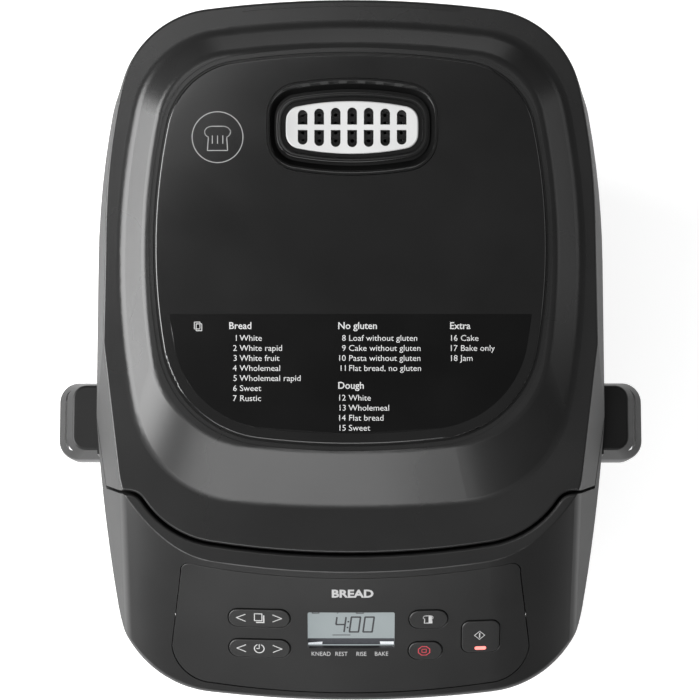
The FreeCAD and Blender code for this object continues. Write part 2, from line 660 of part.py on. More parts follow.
def key(name, u, v, width, height, corner):
    shape = key_cap(u, v, width, height, corner)
    for stem in key_plungers(name, u, v):
        shape = shape.fuse(stem)
    if name == "start_key":
        shape = shape.cut(placed(led_lens_local(0.0), FASCIA))
    return shape.removeSplitter()


def led_lens_local(grow):
    return block(2.9 + grow, 0.95 + grow, 0.9 + grow, -5.4, 6.0, 65.7, -7.6)


def start_led_lens():
    return placed(led_lens_local(0.0), FASCIA).common(arch(0.15 - KEY_PROUD))


def lcd_window():
    pane = lcd_prism(0.0, -8.0, 12.0).common(arch(0.35)).cut(arch(1.9))
    return pane


def lcd_module():
    return placed(block(LCD_HALF_U + 3.0, LCD_HALF_V + 2.0, 1.0, -8.6, -4.2, LCD_U, LCD_V), FASCIA)


def control_board():
    board = placed(box(-84.0, 84.0, -26.0, 27.0, -BOARD_DEPTH, -BOARD_DEPTH + 1.6), FASCIA)
    return board.common(outer_form(WALL + 2.0))


def tact_switches():
    """One switch under each push key and two under each rocker, on the control board."""
    switches = []
    for name, u, v in [key_place[:3] for key_place in KEYS]:
        for x, y in key_switch_places(name, u, v):
            switches.append(placed(box(x - 3, x + 3, y - 3, y + 3, -BOARD_DEPTH + 1.6, -10.4), FASCIA))
    return Part.makeCompound(switches)


def handle():
    """Left carrying handle, a hollow ear open underneath for the fingers."""
    half = 20.5
    front = HANDLE_Y - half
    rear = HANDLE_Y + half
    inner_x = -100.0

    def outline(out_x, y0, y1, r, z):
        half_x = (inner_x - out_x) / 2
        return rounded(half_x, (y1 - y0) / 2, r, z, (inner_x + out_x) / 2, (y0 + y1) / 2)
    top = outline(-HANDLE_OUT_X + 8.6, front + 3.9, rear - 3.4, 7.0, HANDLE_TOP_Z)
    brow = outline(-HANDLE_OUT_X + 0.4, front + 0.4, rear - 0.4, 10.0, HANDLE_TOP_Z - 13.0)
    low = outline(-HANDLE_OUT_X, front, rear, 10.4, HANDLE_TOP_Z - 16.0)
    foot = outline(-HANDLE_OUT_X + 1.0, front + 0.6, rear - 0.6, 10.0, HANDLE_BOTTOM_Z)
    ear = Part.makeLoft([foot, low], True, True)
    ear = ear.fuse(Part.makeLoft([low, brow], True, True)).fuse(Part.makeLoft([brow, top], True, True))
    ear = ear.makeFillet(HANDLE_EDGE_R, edges_on(ear, [top]))
    grip = block(10.2, 16.6, 6.0, HANDLE_BOTTOM_Z - 5.0, HANDLE_TOP_Z - 6.0, -139.4, HANDLE_Y)
    grip = grip.fuse(box(-139.0, -100.0, HANDLE_Y - 16.6, HANDLE_Y + 16.6,
                         HANDLE_BOTTOM_Z - 5.0, HANDLE_TOP_Z - 6.0))
    flange = box(-131.6, -100.0, HANDLE_Y - 19.4, HANDLE_Y + 18.8, HANDLE_TOP_Z - 8, HANDLE_TOP_Z + 3)
    return ear.fuse(flange).cut(grip).cut(casing(0.0))


def base_plate():
    """Sheet-steel bottom with vent slots and screw holes."""
    plate = prism(plan(WALL + 0.3, SHELL_BOTTOM_Z + 2.0, SIDE_DRAFT_LOW, FRONT_DRAFT_LOW,
                       REAR_DRAFT_LOW), 1.2)
    slots = [box(x - 1.5, x + 1.5, 40.0, 80.0, 0, 20) for x in range(-48, 49, 8)]
    holes = [upright(1.6, x, y, 0, 20) for x, y in BOSSES]
    return plate.cut(Part.makeCompound(slots + holes))


def rubber_feet():
    feet = []
    for x, y in FEET:
        foot = upright(9.5, x, y, 0.0, 8.0)
        feet.append(foot.makeFillet(1.2, [e for e in foot.Edges if e.BoundBox.ZMax < 0.1]))
    return Part.makeCompound(feet)


def chassis():
    """Pressed tray with four legs, four board pillars and the capacitor's strap."""
    plate = block(104.0, 124.0, 44.0, CHAMBER_FLOOR_Z - 2.0, CHAMBER_FLOOR_Z, 0.0, 26.0)
    plate = plate.common(casing(WALL + 1.2))
    legs = [upright(4.5, x, y, 9.2, CHAMBER_FLOOR_Z - 1.0) for x in (-86.0, 86.0) for y in (-78.0, 92.0)]
    pillars = [upright(2.6, x, y, CHAMBER_FLOOR_Z - 1.0, BOARD_Z) for x, y in BOARD_SCREWS]
    plate = fuse([plate, capacitor_strap()] + legs + pillars)
    plate = plate.cut(upright(14.0, 0, CENTRE_Y, 0, 200)).cut(upright(8.0, 0, MOTOR_Y, 0, 200))
    return plate.cut(Part.makeCompound([upright(1.5, x, y, 60.0, 90.0) for x, y in BOARD_SCREWS]))


def hinge_bracket():
    """Rear bracket with two ears that hold the hinge pin."""
    block_low = box(-50.0, 50.0, 150.0, 180.9, 226.0, 262.0)
    block_low = block_low.cut(rod(6.4, V(-40.0, HINGE_Y, HINGE_Z), V(40.0, HINGE_Y, HINGE_Z)))
    ears = []
    for x in (-50.0, 40.0):
        ear = rod(5.9, V(x, HINGE_Y, HINGE_Z), V(x + 10.0, HINGE_Y, HINGE_Z))
        ears.append(ear.fuse(box(x, x + 10.0, HINGE_Y - 5.9, HINGE_Y + 5.9, 250.0, HINGE_Z)))
    bore = rod(HINGE_PIN_R, V(-60, HINGE_Y, HINGE_Z), V(60, HINGE_Y, HINGE_Z))
    return block_low.fuse(ears[0]).fuse(ears[1]).cut(bore).cut(casing(0.0))


def hinge_pin():
    return rod(HINGE_PIN_R, V(-49.6, HINGE_Y, HINGE_Z), V(49.6, HINGE_Y, HINGE_Z))


def gland_neck(y0, y1):
    """Square prism through the rear wall that keeps the cord gland from turning."""
    return box(GLAND_X - GLAND_NECK, GLAND_X + GLAND_NECK, y0, y1, GLAND_Z - GLAND_NECK, GLAND_Z + GLAND_NECK)


def cord_gland():
    """Bush in the rear wall where the mains lead goes in; its bore takes a 7 mm lead."""
    bush = rod(7.0, V(GLAND_X, 150.0, GLAND_Z), V(GLAND_X, GLAND_END_Y, GLAND_Z))
    bush = bush.fuse(gland_neck(150.0, GLAND_END_Y - 4.0))
    collar = rod(10.0, V(GLAND_X, 150.0, GLAND_Z), V(GLAND_X, GLAND_END_Y - 2.0, GLAND_Z))
    collar = collar.cut(casing(0.0))
    return bush.fuse(collar).cut(rod(3.6, V(GLAND_X, 130, GLAND_Z), V(GLAND_X, 180, GLAND_Z)))


# ---- baking chamber -------------------------------------------------------------------------------
def chamber():
    """Open-topped sheet-steel box round the pan, with an out-turned flange under the deck."""
    shell = block(CHAMBER_HALF_X, CHAMBER_HALF_Y, CHAMBER_R, CHAMBER_FLOOR_Z, CHAMBER_TOP_Z,
                  0.0, CENTRE_Y)
    shell = shell.cut(block(CHAMBER_HALF_X - SHEET, CHAMBER_HALF_Y - SHEET, CHAMBER_R - SHEET,
                            CHAMBER_FLOOR_Z + SHEET, CHAMBER_TOP_Z + 1, 0.0, CENTRE_Y))
    flange = frame_ring(CHAMBER_HALF_X + 5, CHAMBER_HALF_Y + 5, CHAMBER_R + 5, 5.5,
                        CHAMBER_TOP_Z - SHEET, CHAMBER_TOP_Z, 0.0, CENTRE_Y)
    shell = shell.fuse(flange).cut(upright(14.05, 0, CENTRE_Y, 0, 200))
    for x in (-14.0, 14.0):
        shell = shell.cut(rod(5.0, V(x, 60, HEATER_Z), V(x, 120, HEATER_Z)))
    return shell.cut(rod(4.0, V(-120, SENSOR_Y, SENSOR_Z), V(-60, SENSOR_Y, SENSOR_Z)))


def chamber_trim():
    """Bright lip on the deck round the chamber's mouth."""
    return frame_ring(CHAMBER_HALF_X + 0.8, CHAMBER_HALF_Y + 0.8, CHAMBER_R + 0.8, 2.0,
                      DECK_Z, DECK_Z + 0.8, 0.0, CENTRE_Y)


def pipe(edges, radius, start, direction):
    path = Part.Wire(edges)
    face = Part.Wire([Part.makeCircle(radius, start, direction)])
    return path.makePipeShell([face], True, True)


def heater_element():
    """Tubular element round the foot of the pan, with both ends out through the rear wall."""
    hx = 90.0
    r = 24.0
    k = r * (1 - sqrt(0.5))
    y0 = CENTRE_Y - 78.0
    y1 = CENTRE_Y + 76.0
    z = HEATER_Z
    bend = 9.0
    kb = bend * (1 - sqrt(0.5))
    end_y = CENTRE_Y + CHAMBER_HALF_Y + 11.0
    right = [
        (V(0, y0, z), None, V(hx - r, y0, z)),
        (V(hx - r, y0, z), V(hx - k, y0 + k, z), V(hx, y0 + r, z)),
        (V(hx, y0 + r, z), None, V(hx, y1 - r, z)),
        (V(hx, y1 - r, z), V(hx - k, y1 - k, z), V(hx - r, y1, z)),
        (V(hx - r, y1, z), None, V(14.0 + bend, y1, z)),
        (V(14.0 + bend, y1, z), V(14.0 + kb, y1 + kb, z), V(14.0, y1 + bend, z)),
        (V(14.0, y1 + bend, z), None, V(14.0, end_y, z)),
    ]
    edges = []
    for a, m, b in right:
        edges.append(line(a, b) if m is None else arc3(a, m, b))
    half = pipe(edges, HEATER_R, V(0, y0, z), V(1, 0, 0))
    return half.fuse(mirrored(half)).removeSplitter()


def heater_bushes():
    bushes = []
    for x in (-14.0, 14.0):
        y = CENTRE_Y + CHAMBER_HALF_Y
        sleeve = rod(5.0, V(x, y - 2, HEATER_Z), V(x, y + 8, HEATER_Z))
        collar = rod(8.0, V(x, y, HEATER_Z), V(x, y + 2.5, HEATER_Z))
        bore = rod(HEATER_R, V(x, y - 20, HEATER_Z), V(x, y + 20, HEATER_Z))
        bushes.append(sleeve.fuse(collar).cut(bore))
    return Part.makeCompound(bushes)


def heater_clips():
    """Four stands that hold the element above the chamber floor."""
    clips = []
    for side in (-1, 1):
        for y in (CENTRE_Y - 40.0, CENTRE_Y + 40.0):
            x = side * 90.0
            foot = CHAMBER_FLOOR_Z + SHEET
            eye = rod(HEATER_R + 1.2, V(x, y - 4, HEATER_Z), V(x, y + 4, HEATER_Z))
            post = box(x - 0.8, x + 0.8, y - 4, y + 4, foot, HEATER_Z - HEATER_R)
            pad = box(x - 5.0, x + 5.0, y - 4, y + 4, foot, foot + 1.2)
            hole = rod(HEATER_R, V(x, y - 9, HEATER_Z), V(x, y + 9, HEATER_Z))
            clips.append(eye.fuse(post).fuse(pad).cut(hole))
    return Part.makeCompound(clips)


def temperature_sensor():
    wall = -CHAMBER_HALF_X
    probe = rod(4.0, V(wall - 8, SENSOR_Y, SENSOR_Z), V(wall + 7, SENSOR_Y, SENSOR_Z))
    collar = rod(7.0, V(wall - 2.5, SENSOR_Y, SENSOR_Z), V(wall, SENSOR_Y, SENSOR_Z))
    return probe.fuse(collar)


def pan_seat():
    """Ring on the chamber floor that the pan's base sits in."""
    z0 = CHAMBER_FLOOR_Z + SHEET
    seat = ring(53.0, 48.0, 0, CENTRE_Y, z0, z0 + 18.0)
    return seat.fuse(ring(60.0, 48.0, 0, CENTRE_Y, z0, z0 + 1.5))


def heat_shield():
    """Bright sheet between the chamber and the control board."""
    return box(-88.0, 88.0, -101.4, -100.4, CHAMBER_FLOOR_Z, CHAMBER_TOP_Z - 18.0)


# ---- drive ----------------------------------------------------------------------------------------
def bearing_housing():
    neck = ring(14.0, 8.0, 0, CENTRE_Y, 40.0, CHAMBER_FLOOR_Z + 3.0)
    return neck.fuse(ring(26.0, 14.0, 0, CENTRE_Y, CHAMBER_FLOOR_Z - 7.0, CHAMBER_FLOOR_Z - 2.0))


def shaft_bushes():
    bores = SHAFT_R + RUNNING_GAP
    return Part.makeCompound([ring(8.0, bores, 0, CENTRE_Y, z, z + 10.0) for z in (40.0, 61.5)])


def drive_shaft():
    return upright(SHAFT_R, 0, CENTRE_Y, 20.0, 79.0)


def pulley(radius, shaft_r, x, y, z0, rim):
    """Flat-belt pulley with two flanges; rim is the flange height."""
    body = upright(radius, x, y, z0, z0 + BELT_WIDTH)
    body = body.fuse(upright(radius + rim, x, y, z0 - 1.6, z0))
    body = body.fuse(upright(radius + rim, x, y, z0 + BELT_WIDTH, z0 + BELT_WIDTH + 1.6))
    return body.cut(upright(shaft_r, x, y, z0 - 5, z0 + 20))


def large_pulley():
    wheel = pulley(LARGE_PULLEY_R, SHAFT_R, 0, CENTRE_Y, PULLEY_Z, 2.6)
    wheel = wheel.cut(ring(45.0, 13.0, 0, CENTRE_Y, PULLEY_Z + 5.0, PULLEY_Z + 12.0))
    for index in range(6):
        angle = 2 * pi * index / 6
        x = 29.0 * cos(angle)
        y = CENTRE_Y + 29.0 * sin(angle)
        wheel = wheel.cut(upright(9.0, x, y, PULLEY_Z - 4, PULLEY_Z + 14))
    return wheel


def motor_pulley():
    return pulley(SMALL_PULLEY_R, MOTOR_SHAFT_R, 0, MOTOR_Y, PULLEY_Z, 2.4)


def belt_region(grow, z0, z1):
    """Solid of a belt loop round both pulleys, grown by an amount."""
    r1 = LARGE_PULLEY_R + grow
    r2 = SMALL_PULLEY_R + grow
    span = MOTOR_Y - CENTRE_Y
    lean = asin((r1 - r2) / span)
    c1 = V(0, CENTRE_Y, z0)
    c2 = V(0, MOTOR_Y, z0)
    side = V(cos(lean), sin(lean), 0)
    a = c1.add(side * r1)
    b = c2.add(side * r2)
    wire = Part.Wire([
        line(a, b),
        arc3(b, c2.add(V(0, r2, 0)), V(-b.x, b.y, z0)),
        line(V(-b.x, b.y, z0), V(-a.x, a.y, z0)),
        arc3(V(-a.x, a.y, z0), c1.add(V(0, -r1, 0)), a),
    ])
    return prism(wire, z1 - z0)


def drive_belt():
    low = PULLEY_Z + 0.4
    high = PULLEY_Z + BELT_WIDTH - 0.4
    return belt_region(2.0, low, high).cut(belt_region(0.3, low - 1, high + 1))


def drive_coupling():
    """Disc with two lugs that turn the pan's winged coupling."""
    disc = upright(14.0, 0, CENTRE_Y, 72.5, 79.0)
    lugs = [box(x0, x1, CENTRE_Y - 5, CENTRE_Y + 5, 78.0, 87.0) for x0, x1 in ((4.6, 11.5), (-11.5, -4.6))]
    return disc.fuse(lugs[0]).fuse(lugs[1]).cut(upright(SHAFT_R, 0, CENTRE_Y, 60, 79.0))


def motor_stator():
    core = upright(MOTOR_R, 0, MOTOR_Y, 84.0, 116.0)
    return core.cut(upright(18.6, 0, MOTOR_Y, 80, 130))


def motor_windings():
    return Part.makeCompound([ring(28.0, 19.6, 0, MOTOR_Y, 77.0, 84.0),
                              ring(28.0, 19.6, 0, MOTOR_Y, 116.0, 123.0)])


def motor_end_caps():
    """Pressed end caps; the bushes in their middles carry the motor's shaft."""
    bore = MOTOR_SHAFT_R + RUNNING_GAP
    low = upright(MOTOR_R + 1.6, 0, MOTOR_Y, CHAMBER_FLOOR_Z, 84.0)
    low = low.cut(upright(MOTOR_R - 0.6, 0, MOTOR_Y, CHAMBER_FLOOR_Z + 1.8, 85.0))
    high = upright(MOTOR_R + 1.6, 0, MOTOR_Y, 116.0, 128.0)
    high = high.cut(upright(MOTOR_R - 0.6, 0, MOTOR_Y, 115.0, 126.2))
    hub_low = upright(8.0, 0, MOTOR_Y, CHAMBER_FLOOR_Z - 1.0, 74.5)
    hub_high = upright(8.0, 0, MOTOR_Y, 125.0, 131.0)
    shaft_hole = upright(bore, 0, MOTOR_Y, 40, 150)
    return Part.makeCompound([low.fuse(hub_low).cut(shaft_hole), high.fuse(hub_high).cut(shaft_hole)])


def motor_rotor():
    return ring(18.0, MOTOR_SHAFT_R, 0, MOTOR_Y, 83.0, 117.0)


def motor_shaft():
    return upright(MOTOR_SHAFT_R, 0, MOTOR_Y, 20.0, 144.0)


def motor_fan():
    hub = upright(9.0, 0, MOTOR_Y, 133.0, 142.0)
    for index in range(8):
        blade = box(6.0, 28.0, -0.8, 0.8, 134.0, 142.0)
        blade.rotate(V(0, 0, 0), V(0, 0, 1), 45.0 * index)
        blade.translate(V(0, MOTOR_Y, 0))
        hub = hub.fuse(blade)
    return hub.cut(upright(MOTOR_SHAFT_R, 0, MOTOR_Y, 120, 150))


def run_capacitor():
    return rod(14.0, V(-80.0, 118.0, 84.5), V(-38.0, 118.0, 84.5))


def capacitor_strap():
    """Strap of the chassis round the run capacitor."""
    strap = rod(15.2, V(-66.0, 118.0, 84.5), V(-54.0, 118.0, 84.5))
    strap = strap.fuse(box(-66.0, -54.0, 104.0, 132.0, CHAMBER_FLOOR_Z - 1.0, 76.0))
    return strap.cut(rod(14.0, V(-90.0, 118.0, 84.5), V(-30.0, 118.0, 84.5)))


def power_board():
    board = box(38.0, 86.0, 92.0, 136.0, BOARD_Z, BOARD_Z + 1.6)
    return board.cut(Part.makeCompound([upright(1.5, x, y, 60.0, 90.0) for x, y in BOARD_SCREWS]))


def board_parts():
    """Transformer, relay, filter capacitor and terminal block on the power board."""
    top = BOARD_Z + 1.6
    return Part.makeCompound([
        box(46.0, 66.0, 100.0, 120.0, top, top + 22.0),
        box(69.0, 82.0, 102.0, 116.0, top, top + 15.0),
        upright(5.0, 75.0, 124.0, top, top + 20.0),
        box(47.0, 67.0, 124.0, 133.0, top, top + 10.0),
    ])


# ---- bread pan ------------------------------------------------------------------------------------
def pan_body(inset, floor_z, rim_z):
    low = rounded(PAN_HALF_X - 5.0 - inset, PAN_HALF_Y - 4.0 - inset, 24.0 - inset, floor_z,
                  0.0, CENTRE_Y)
    high = rounded(PAN_HALF_X - inset, PAN_HALF_Y - inset, 26.0 - inset, rim_z, 0.0, CENTRE_Y)
    return Part.makeLoft([low, high], True, True)


def bread_pan():
    """Rectangular tin with a rolled rim and two raised ears for the bail."""
    shell = pan_body(0.0, PAN_FLOOR_Z, PAN_RIM_Z)
    shell = shell.fuse(block(PAN_HALF_X + 2, PAN_HALF_Y + 2, 28.0, PAN_RIM_Z - 3, PAN_RIM_Z, 0, CENTRE_Y))
    shell = shell.cut(pan_body(PAN_WALL, PAN_FLOOR_Z + PAN_WALL, PAN_RIM_Z + 0.01))
    for side in (-1, 1):
        x = side * (PAN_HALF_X + 1.0)
        ear = rod(8.0, V(x - 1.0, CENTRE_Y, BAIL_PIVOT_Z), V(x + 1.0, CENTRE_Y, BAIL_PIVOT_Z))
        ear = ear.fuse(box(x - 1.0, x + 1.0, CENTRE_Y - 8, CENTRE_Y + 8, PAN_RIM_Z - 3, BAIL_PIVOT_Z))
        shell = shell.fuse(ear)
    bail_r = BAIL_WIRE_R + RUNNING_GAP
    pivots = rod(bail_r, V(-120, CENTRE_Y, BAIL_PIVOT_Z), V(120, CENTRE_Y, BAIL_PIVOT_Z))
    return shell.cut(pivots).cut(upright(8.0, 0, CENTRE_Y, 80, 120)).removeSplitter()


def pan_base():
    """Cast ring under the pan that stands in the seat."""
    wall = ring(47.0, 43.0, 0, CENTRE_Y, 72.0, PAN_FLOOR_Z)
    return wall


def pan_bush():
    """Flanged bush in the pan's floor; the paddle shaft turns in it."""
    bush = upright(8.0, 0, CENTRE_Y, 90.0, 100.4)
    bush = bush.fuse(upright(13.0, 0, CENTRE_Y, PAN_FLOOR_Z - 3.0, PAN_FLOOR_Z))
    return bush.cut(upright(PADDLE_SHAFT_R + RUNNING_GAP, 0, CENTRE_Y, 80, 120))


def paddle_shaft():
    """Shaft through the pan's floor with the winged coupling on its lower end."""
    shaft = upright(PADDLE_SHAFT_R, 0, CENTRE_Y, 82.0, 122.0)
    hub = upright(6.8, 0, CENTRE_Y, 82.0, 89.4).cut(box(3.3, 20, -60, 60, 80.0, 87.6))
    hub = hub.cut(box(-20, -3.3, -60, 60, 80.0, 87.6))
    wing = box(-3.3, 3.3, CENTRE_Y - 11.5, CENTRE_Y + 11.5, 81.0, 87.6)
    return fuse([shaft, hub, wing])


def kneading_blade():
    """Hub with one swept fin, pushed onto the paddle shaft."""
    hub = Part.makeCone(10.5, 8.0, 22.0, V(0, CENTRE_Y, 101.2))
    outline = Part.Wire([
        line(V(4.0, CENTRE_Y - 3.0, 101.2), V(46.0, CENTRE_Y - 3.0, 101.2)),
        arc3(V(46.0, CENTRE_Y - 3.0, 101.2), V(47.5, CENTRE_Y - 3.0, 113.0),
             V(38.0, CENTRE_Y - 3.0, 124.0)),
        arc3(V(38.0, CENTRE_Y - 3.0, 124.0), V(20.0, CENTRE_Y - 3.0, 127.0), V(4.0, CENTRE_Y - 3.0, 121.0)),
        line(V(4.0, CENTRE_Y - 3.0, 121.0), V(4.0, CENTRE_Y - 3.0, 101.2)),
    ])
    fin = Part.Face(outline).extrude(V(0, 6.0, 0))
    return hub.fuse(fin).cut(upright(PADDLE_SHAFT_R, 0, CENTRE_Y, 90, 122.0)).removeSplitter()


def bail():
    """Wire handle of the pan, folded back onto the rim."""
    x = PAN_HALF_X + 6.0
    z = BAIL_PIVOT_Z
    y0 = CENTRE_Y
    reach = y0 + BAIL_REACH
    bend = 3.6
    r = 20.0
    k = r * (1 - sqrt(0.5))
    kb = bend * (1 - sqrt(0.5))
    edges = [
        line(V(PAN_HALF_X - 3.0, y0, z), V(x - bend, y0, z)),
        arc3(V(x - bend, y0, z), V(x - kb, y0 + kb, z), V(x, y0 + bend, z)),
        line(V(x, y0 + bend, z), V(x, reach - r, z)),
        arc3(V(x, reach - r, z), V(x - k, reach - k, z), V(x - r, reach, z)),
        line(V(x - r, reach, z), V(0, reach, z)),
    ]
    half = pipe(edges, BAIL_WIRE_R, V(PAN_HALF_X - 3.0, y0, z), V(1, 0, 0))
    return half.fuse(mirrored(half)).removeSplitter()


# ---- fasteners ------------------------------------------------------------------------------------
def screw(x, y, head_z, length, up=1):
    """Pan-head screw; up is +1 when its shank points up."""
    head = upright(3.4, x, y, min(head_z, head_z - 2.2 * up), max(head_z, head_z - 2.2 * up))
    shank = upright(1.5, x, y, min(head_z, head_z + length * up), max(head_z, head_z + length * up))
    return head.fuse(shank)


def screws():
    """Screws of the base plate, from below, and of the power board, from above."""
    base = [screw(x, y, SHELL_BOTTOM_Z + 2.0, 14.0) for x, y in BOSSES]
    board = [screw(x, y, BOARD_Z + 1.6, 7.0, -1) for x, y in BOARD_SCREWS]
    return Part.makeCompound(base + board)


def build_nodes():
    nodes = {
        "body_shell": body_shell(),
        "body_deck": body_deck(),
        "control_panel": control_panel(),
        "base_plate": base_plate(),
        "rubber_feet": rubber_feet(),
        "screws": screws(),
        "handle_left": handle(),
        "handle_right": mirrored(handle()),
        "cord_gland": cord_gland(),
        "hinge_bracket": hinge_bracket(),
        "hinge_pin": hinge_pin(),
        "chassis": chassis(),
        "baking_chamber": chamber(),
        "chamber_trim": chamber_trim(),
        "heater_element": heater_element(),
        "heater_bushes": heater_bushes(),
        "heater_clips": heater_clips(),
        "temperature_sensor": temperature_sensor(),
        "pan_seat": pan_seat(),
        "heat_shield": heat_shield(),
        "bearing_housing": bearing_housing(),
        "shaft_bushes": shaft_bushes(),
        "drive_shaft": drive_shaft(),
        "large_pulley": large_pulley(),
        "drive_coupling": drive_coupling(),
        "drive_belt": drive_belt(),
        "motor_stator": motor_stator(),
        "motor_windings": motor_windings(),
        "motor_end_caps": motor_end_caps(),
        "motor_rotor": motor_rotor(),
        "motor_shaft": motor_shaft(),
        "motor_pulley": motor_pulley(),
        "motor_fan": motor_fan(),
        "run_capacitor": run_capacitor(),
        "power_board": power_board(),
        "board_parts": Part.makeCompound([board_parts(), tact_switches()]),
        "control_board": control_board(),
        "lcd_module": lcd_module(),
        "lcd_window": lcd_window(),
        "start_led_lens": start_led_lens(),
        "bread_pan": bread_pan(),
        "pan_base": pan_base(),
        "pan_bush": pan_bush(),
        "paddle_shaft": paddle_shaft(),
        "kneading_blade": kneading_blade(),
        "pan_bail": bail(),
        "lid_shell": lid_shell(),
        "gloss_panel": gloss_panel(),
        "vent_bezel": vent_bezel(),
        "steam_grille": steam_grille(),
        "steam_duct": steam_duct(),
        "lid_inner_plate": lid_inner_plate(),
        "lid_frame": lid_frame(),
        "lid_seal": lid_seal(),
        "hinge_arm": hinge_arm(),
    }
    for name, u, v, width, height, corner in KEYS:
        nodes[name] = key(name, u, v, width, height, corner)
    return nodes


os.makedirs("parts", exist_ok=True)
for node, solid in build_nodes().items():
    solid.exportStep("parts/" + node + ".step")
    print(node, solid.isValid(), len(solid.Solids), round(solid.Volume))
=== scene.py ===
from math import cos, radians, sin

import bmesh
import bpy
from mathutils import Matrix, Vector
from mathutils.bvhtree import BVHTree


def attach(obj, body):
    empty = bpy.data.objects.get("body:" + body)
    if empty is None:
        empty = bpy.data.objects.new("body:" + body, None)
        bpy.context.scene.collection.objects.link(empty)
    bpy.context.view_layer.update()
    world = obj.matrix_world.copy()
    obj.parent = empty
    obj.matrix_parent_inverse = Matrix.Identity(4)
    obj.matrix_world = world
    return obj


# Bread machine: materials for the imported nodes, the printing on the lid, keys, display and panel, and a
# plain studio. Places in the scene are in metres. Places on a printed face are in millimetres.

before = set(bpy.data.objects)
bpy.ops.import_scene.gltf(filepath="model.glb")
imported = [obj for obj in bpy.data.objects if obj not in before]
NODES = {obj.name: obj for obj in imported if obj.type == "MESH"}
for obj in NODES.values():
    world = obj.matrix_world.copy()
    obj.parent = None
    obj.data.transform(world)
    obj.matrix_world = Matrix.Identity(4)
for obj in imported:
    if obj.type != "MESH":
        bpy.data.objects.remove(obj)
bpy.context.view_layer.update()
MM = 0.001


# ---- materials ------------------------------------------------------------------------------------
MIDDLE = (0.3, 0.7)                # the part of a texture's range that is used
MIX_BELOW, MIX_ABOVE, MIX_RESULT = 6, 7, 2  # colour sockets of a Mix node
GRAIN_DEPTH = 0.00008              # relief of moulded plastic
ROLLING_DEPTH = 0.00005            # relief of drawn or rolled metal
WALL_DULLNESS = 0.34               # roughness that the deeper grain adds on upright walls
WALL_TO_TOP = (0.25, 0.5)          # a normal's upward part, from where a wall ends to where a top begins


class Paint:
    """A procedural material: a Principled shader with colour, roughness and relief from nodes."""

    def __init__(self, name, metallic=0.0, **fixed):
        self.mat = bpy.data.materials.new(name)
        self.mat.use_nodes = True
        self.tree = self.mat.node_tree
        self.shader = self.tree.nodes["Principled BSDF"]
        self.shader.inputs["Metallic"].default_value = metallic
        for socket, value in fixed.items():
            self.shader.inputs[socket.replace("_", " ")].default_value = value
        self.coord = self.node("ShaderNodeTexCoord").outputs["Object"]
        self.relief = None

    def node(self, kind, **settings):
        made = self.tree.nodes.new(kind)
        for key, value in settings.items():
            if key in made.inputs.keys():
                made.inputs[key].default_value = value
            else:
                setattr(made, key, value)
        return made

    def link(self, source, target):
        self.tree.links.new(source, target)

    def mapped(self, scale=(1, 1, 1)):
        mapping = self.node("ShaderNodeMapping")
        mapping.inputs["Scale"].default_value = scale
        self.link(self.coord, mapping.inputs["Vector"])
        return mapping.outputs["Vector"]

    def noise(self, scale, detail=3.0, stretch=(1, 1, 1)):
        tex = self.node("ShaderNodeTexNoise", Scale=scale, Detail=detail)
        self.link(self.mapped(stretch), tex.inputs["Vector"])
        return tex.outputs["Fac"]

    def spread(self, value, low, high, at=MIDDLE):
        ranged = self.node("ShaderNodeMapRange")
        for socket, number in zip(("From Min", "From Max", "To Min", "To Max"), (*at, low, high)):
            ranged.inputs[socket].default_value = number
        self.link(value, ranged.inputs["Value"])
        return ranged.outputs["Result"]

    def blend(self, value, first, second, at=MIDDLE):
        ramp = self.node("ShaderNodeValToRGB")
        for stop, place, colour in zip(ramp.color_ramp.elements, at, (first, second)):
            stop.position = place
            stop.color = (*colour, 1.0)
        self.link(value, ramp.inputs["Fac"])
        return ramp.outputs["Color"]

    def colour(self, value, first, second, at=MIDDLE):
        self.link(self.blend(value, first, second, at), self.shader.inputs["Base Color"])
        return self

    def over(self, mask, paint):
        """Where mask is 1, a plain colour lies over what the base colour already is."""
        mix = self.node("ShaderNodeMix", data_type="RGBA")
        below = self.shader.inputs["Base Color"].links[0].from_socket
        self.link(mask, mix.inputs["Factor"])
        self.link(below, mix.inputs[MIX_BELOW])
        mix.inputs[MIX_ABOVE].default_value = (*paint, 1.0)
        self.link(mix.outputs[MIX_RESULT], self.shader.inputs["Base Color"])
        return self

    def rough(self, value, low, high, at=MIDDLE):
        self.link(self.spread(value, low, high, at), self.shader.inputs["Roughness"])
        return self

    def bump(self, value, strength, distance):
        bump = self.node("ShaderNodeBump", Strength=strength, Distance=distance)
        self.link(value, bump.inputs["Height"])
        if self.relief is not None:
            self.link(self.relief, bump.inputs["Normal"])
        self.relief = bump.outputs["Normal"]
        self.link(self.relief, self.shader.inputs["Normal"])
        return self

    def wave(self, scale, distortion=0.0):
        """Level bands, one above the other."""
        tex = self.node("ShaderNodeTexWave", wave_type="BANDS", Scale=scale, Distortion=distortion)
        tex.bands_direction = "Z"
        self.link(self.mapped(), tex.inputs["Vector"])
        return tex.outputs["Fac"]

    def cells(self, scale):
        tex = self.node("ShaderNodeTexVoronoi", feature="F1", Scale=scale)
        self.link(self.mapped(), tex.inputs["Vector"])
        return tex.outputs["Distance"]


def grey(level):
    return (level, level, level)


def plastic(name, dark, light, low, high, grain=2600.0, strength=0.12, handling=14.0, **fixed):
    """Moulded plastic: a fine spark-eroded grain, faint mottling and uneven gloss from handling."""
    paint = Paint(name, **fixed)
    paint.colour(paint.noise(handling * 3, 4.0), dark, light)
    paint.rough(paint.noise(handling, 5.0), low, high)
    paint.bump(paint.noise(grain, 2.0), strength, GRAIN_DEPTH)
    return paint


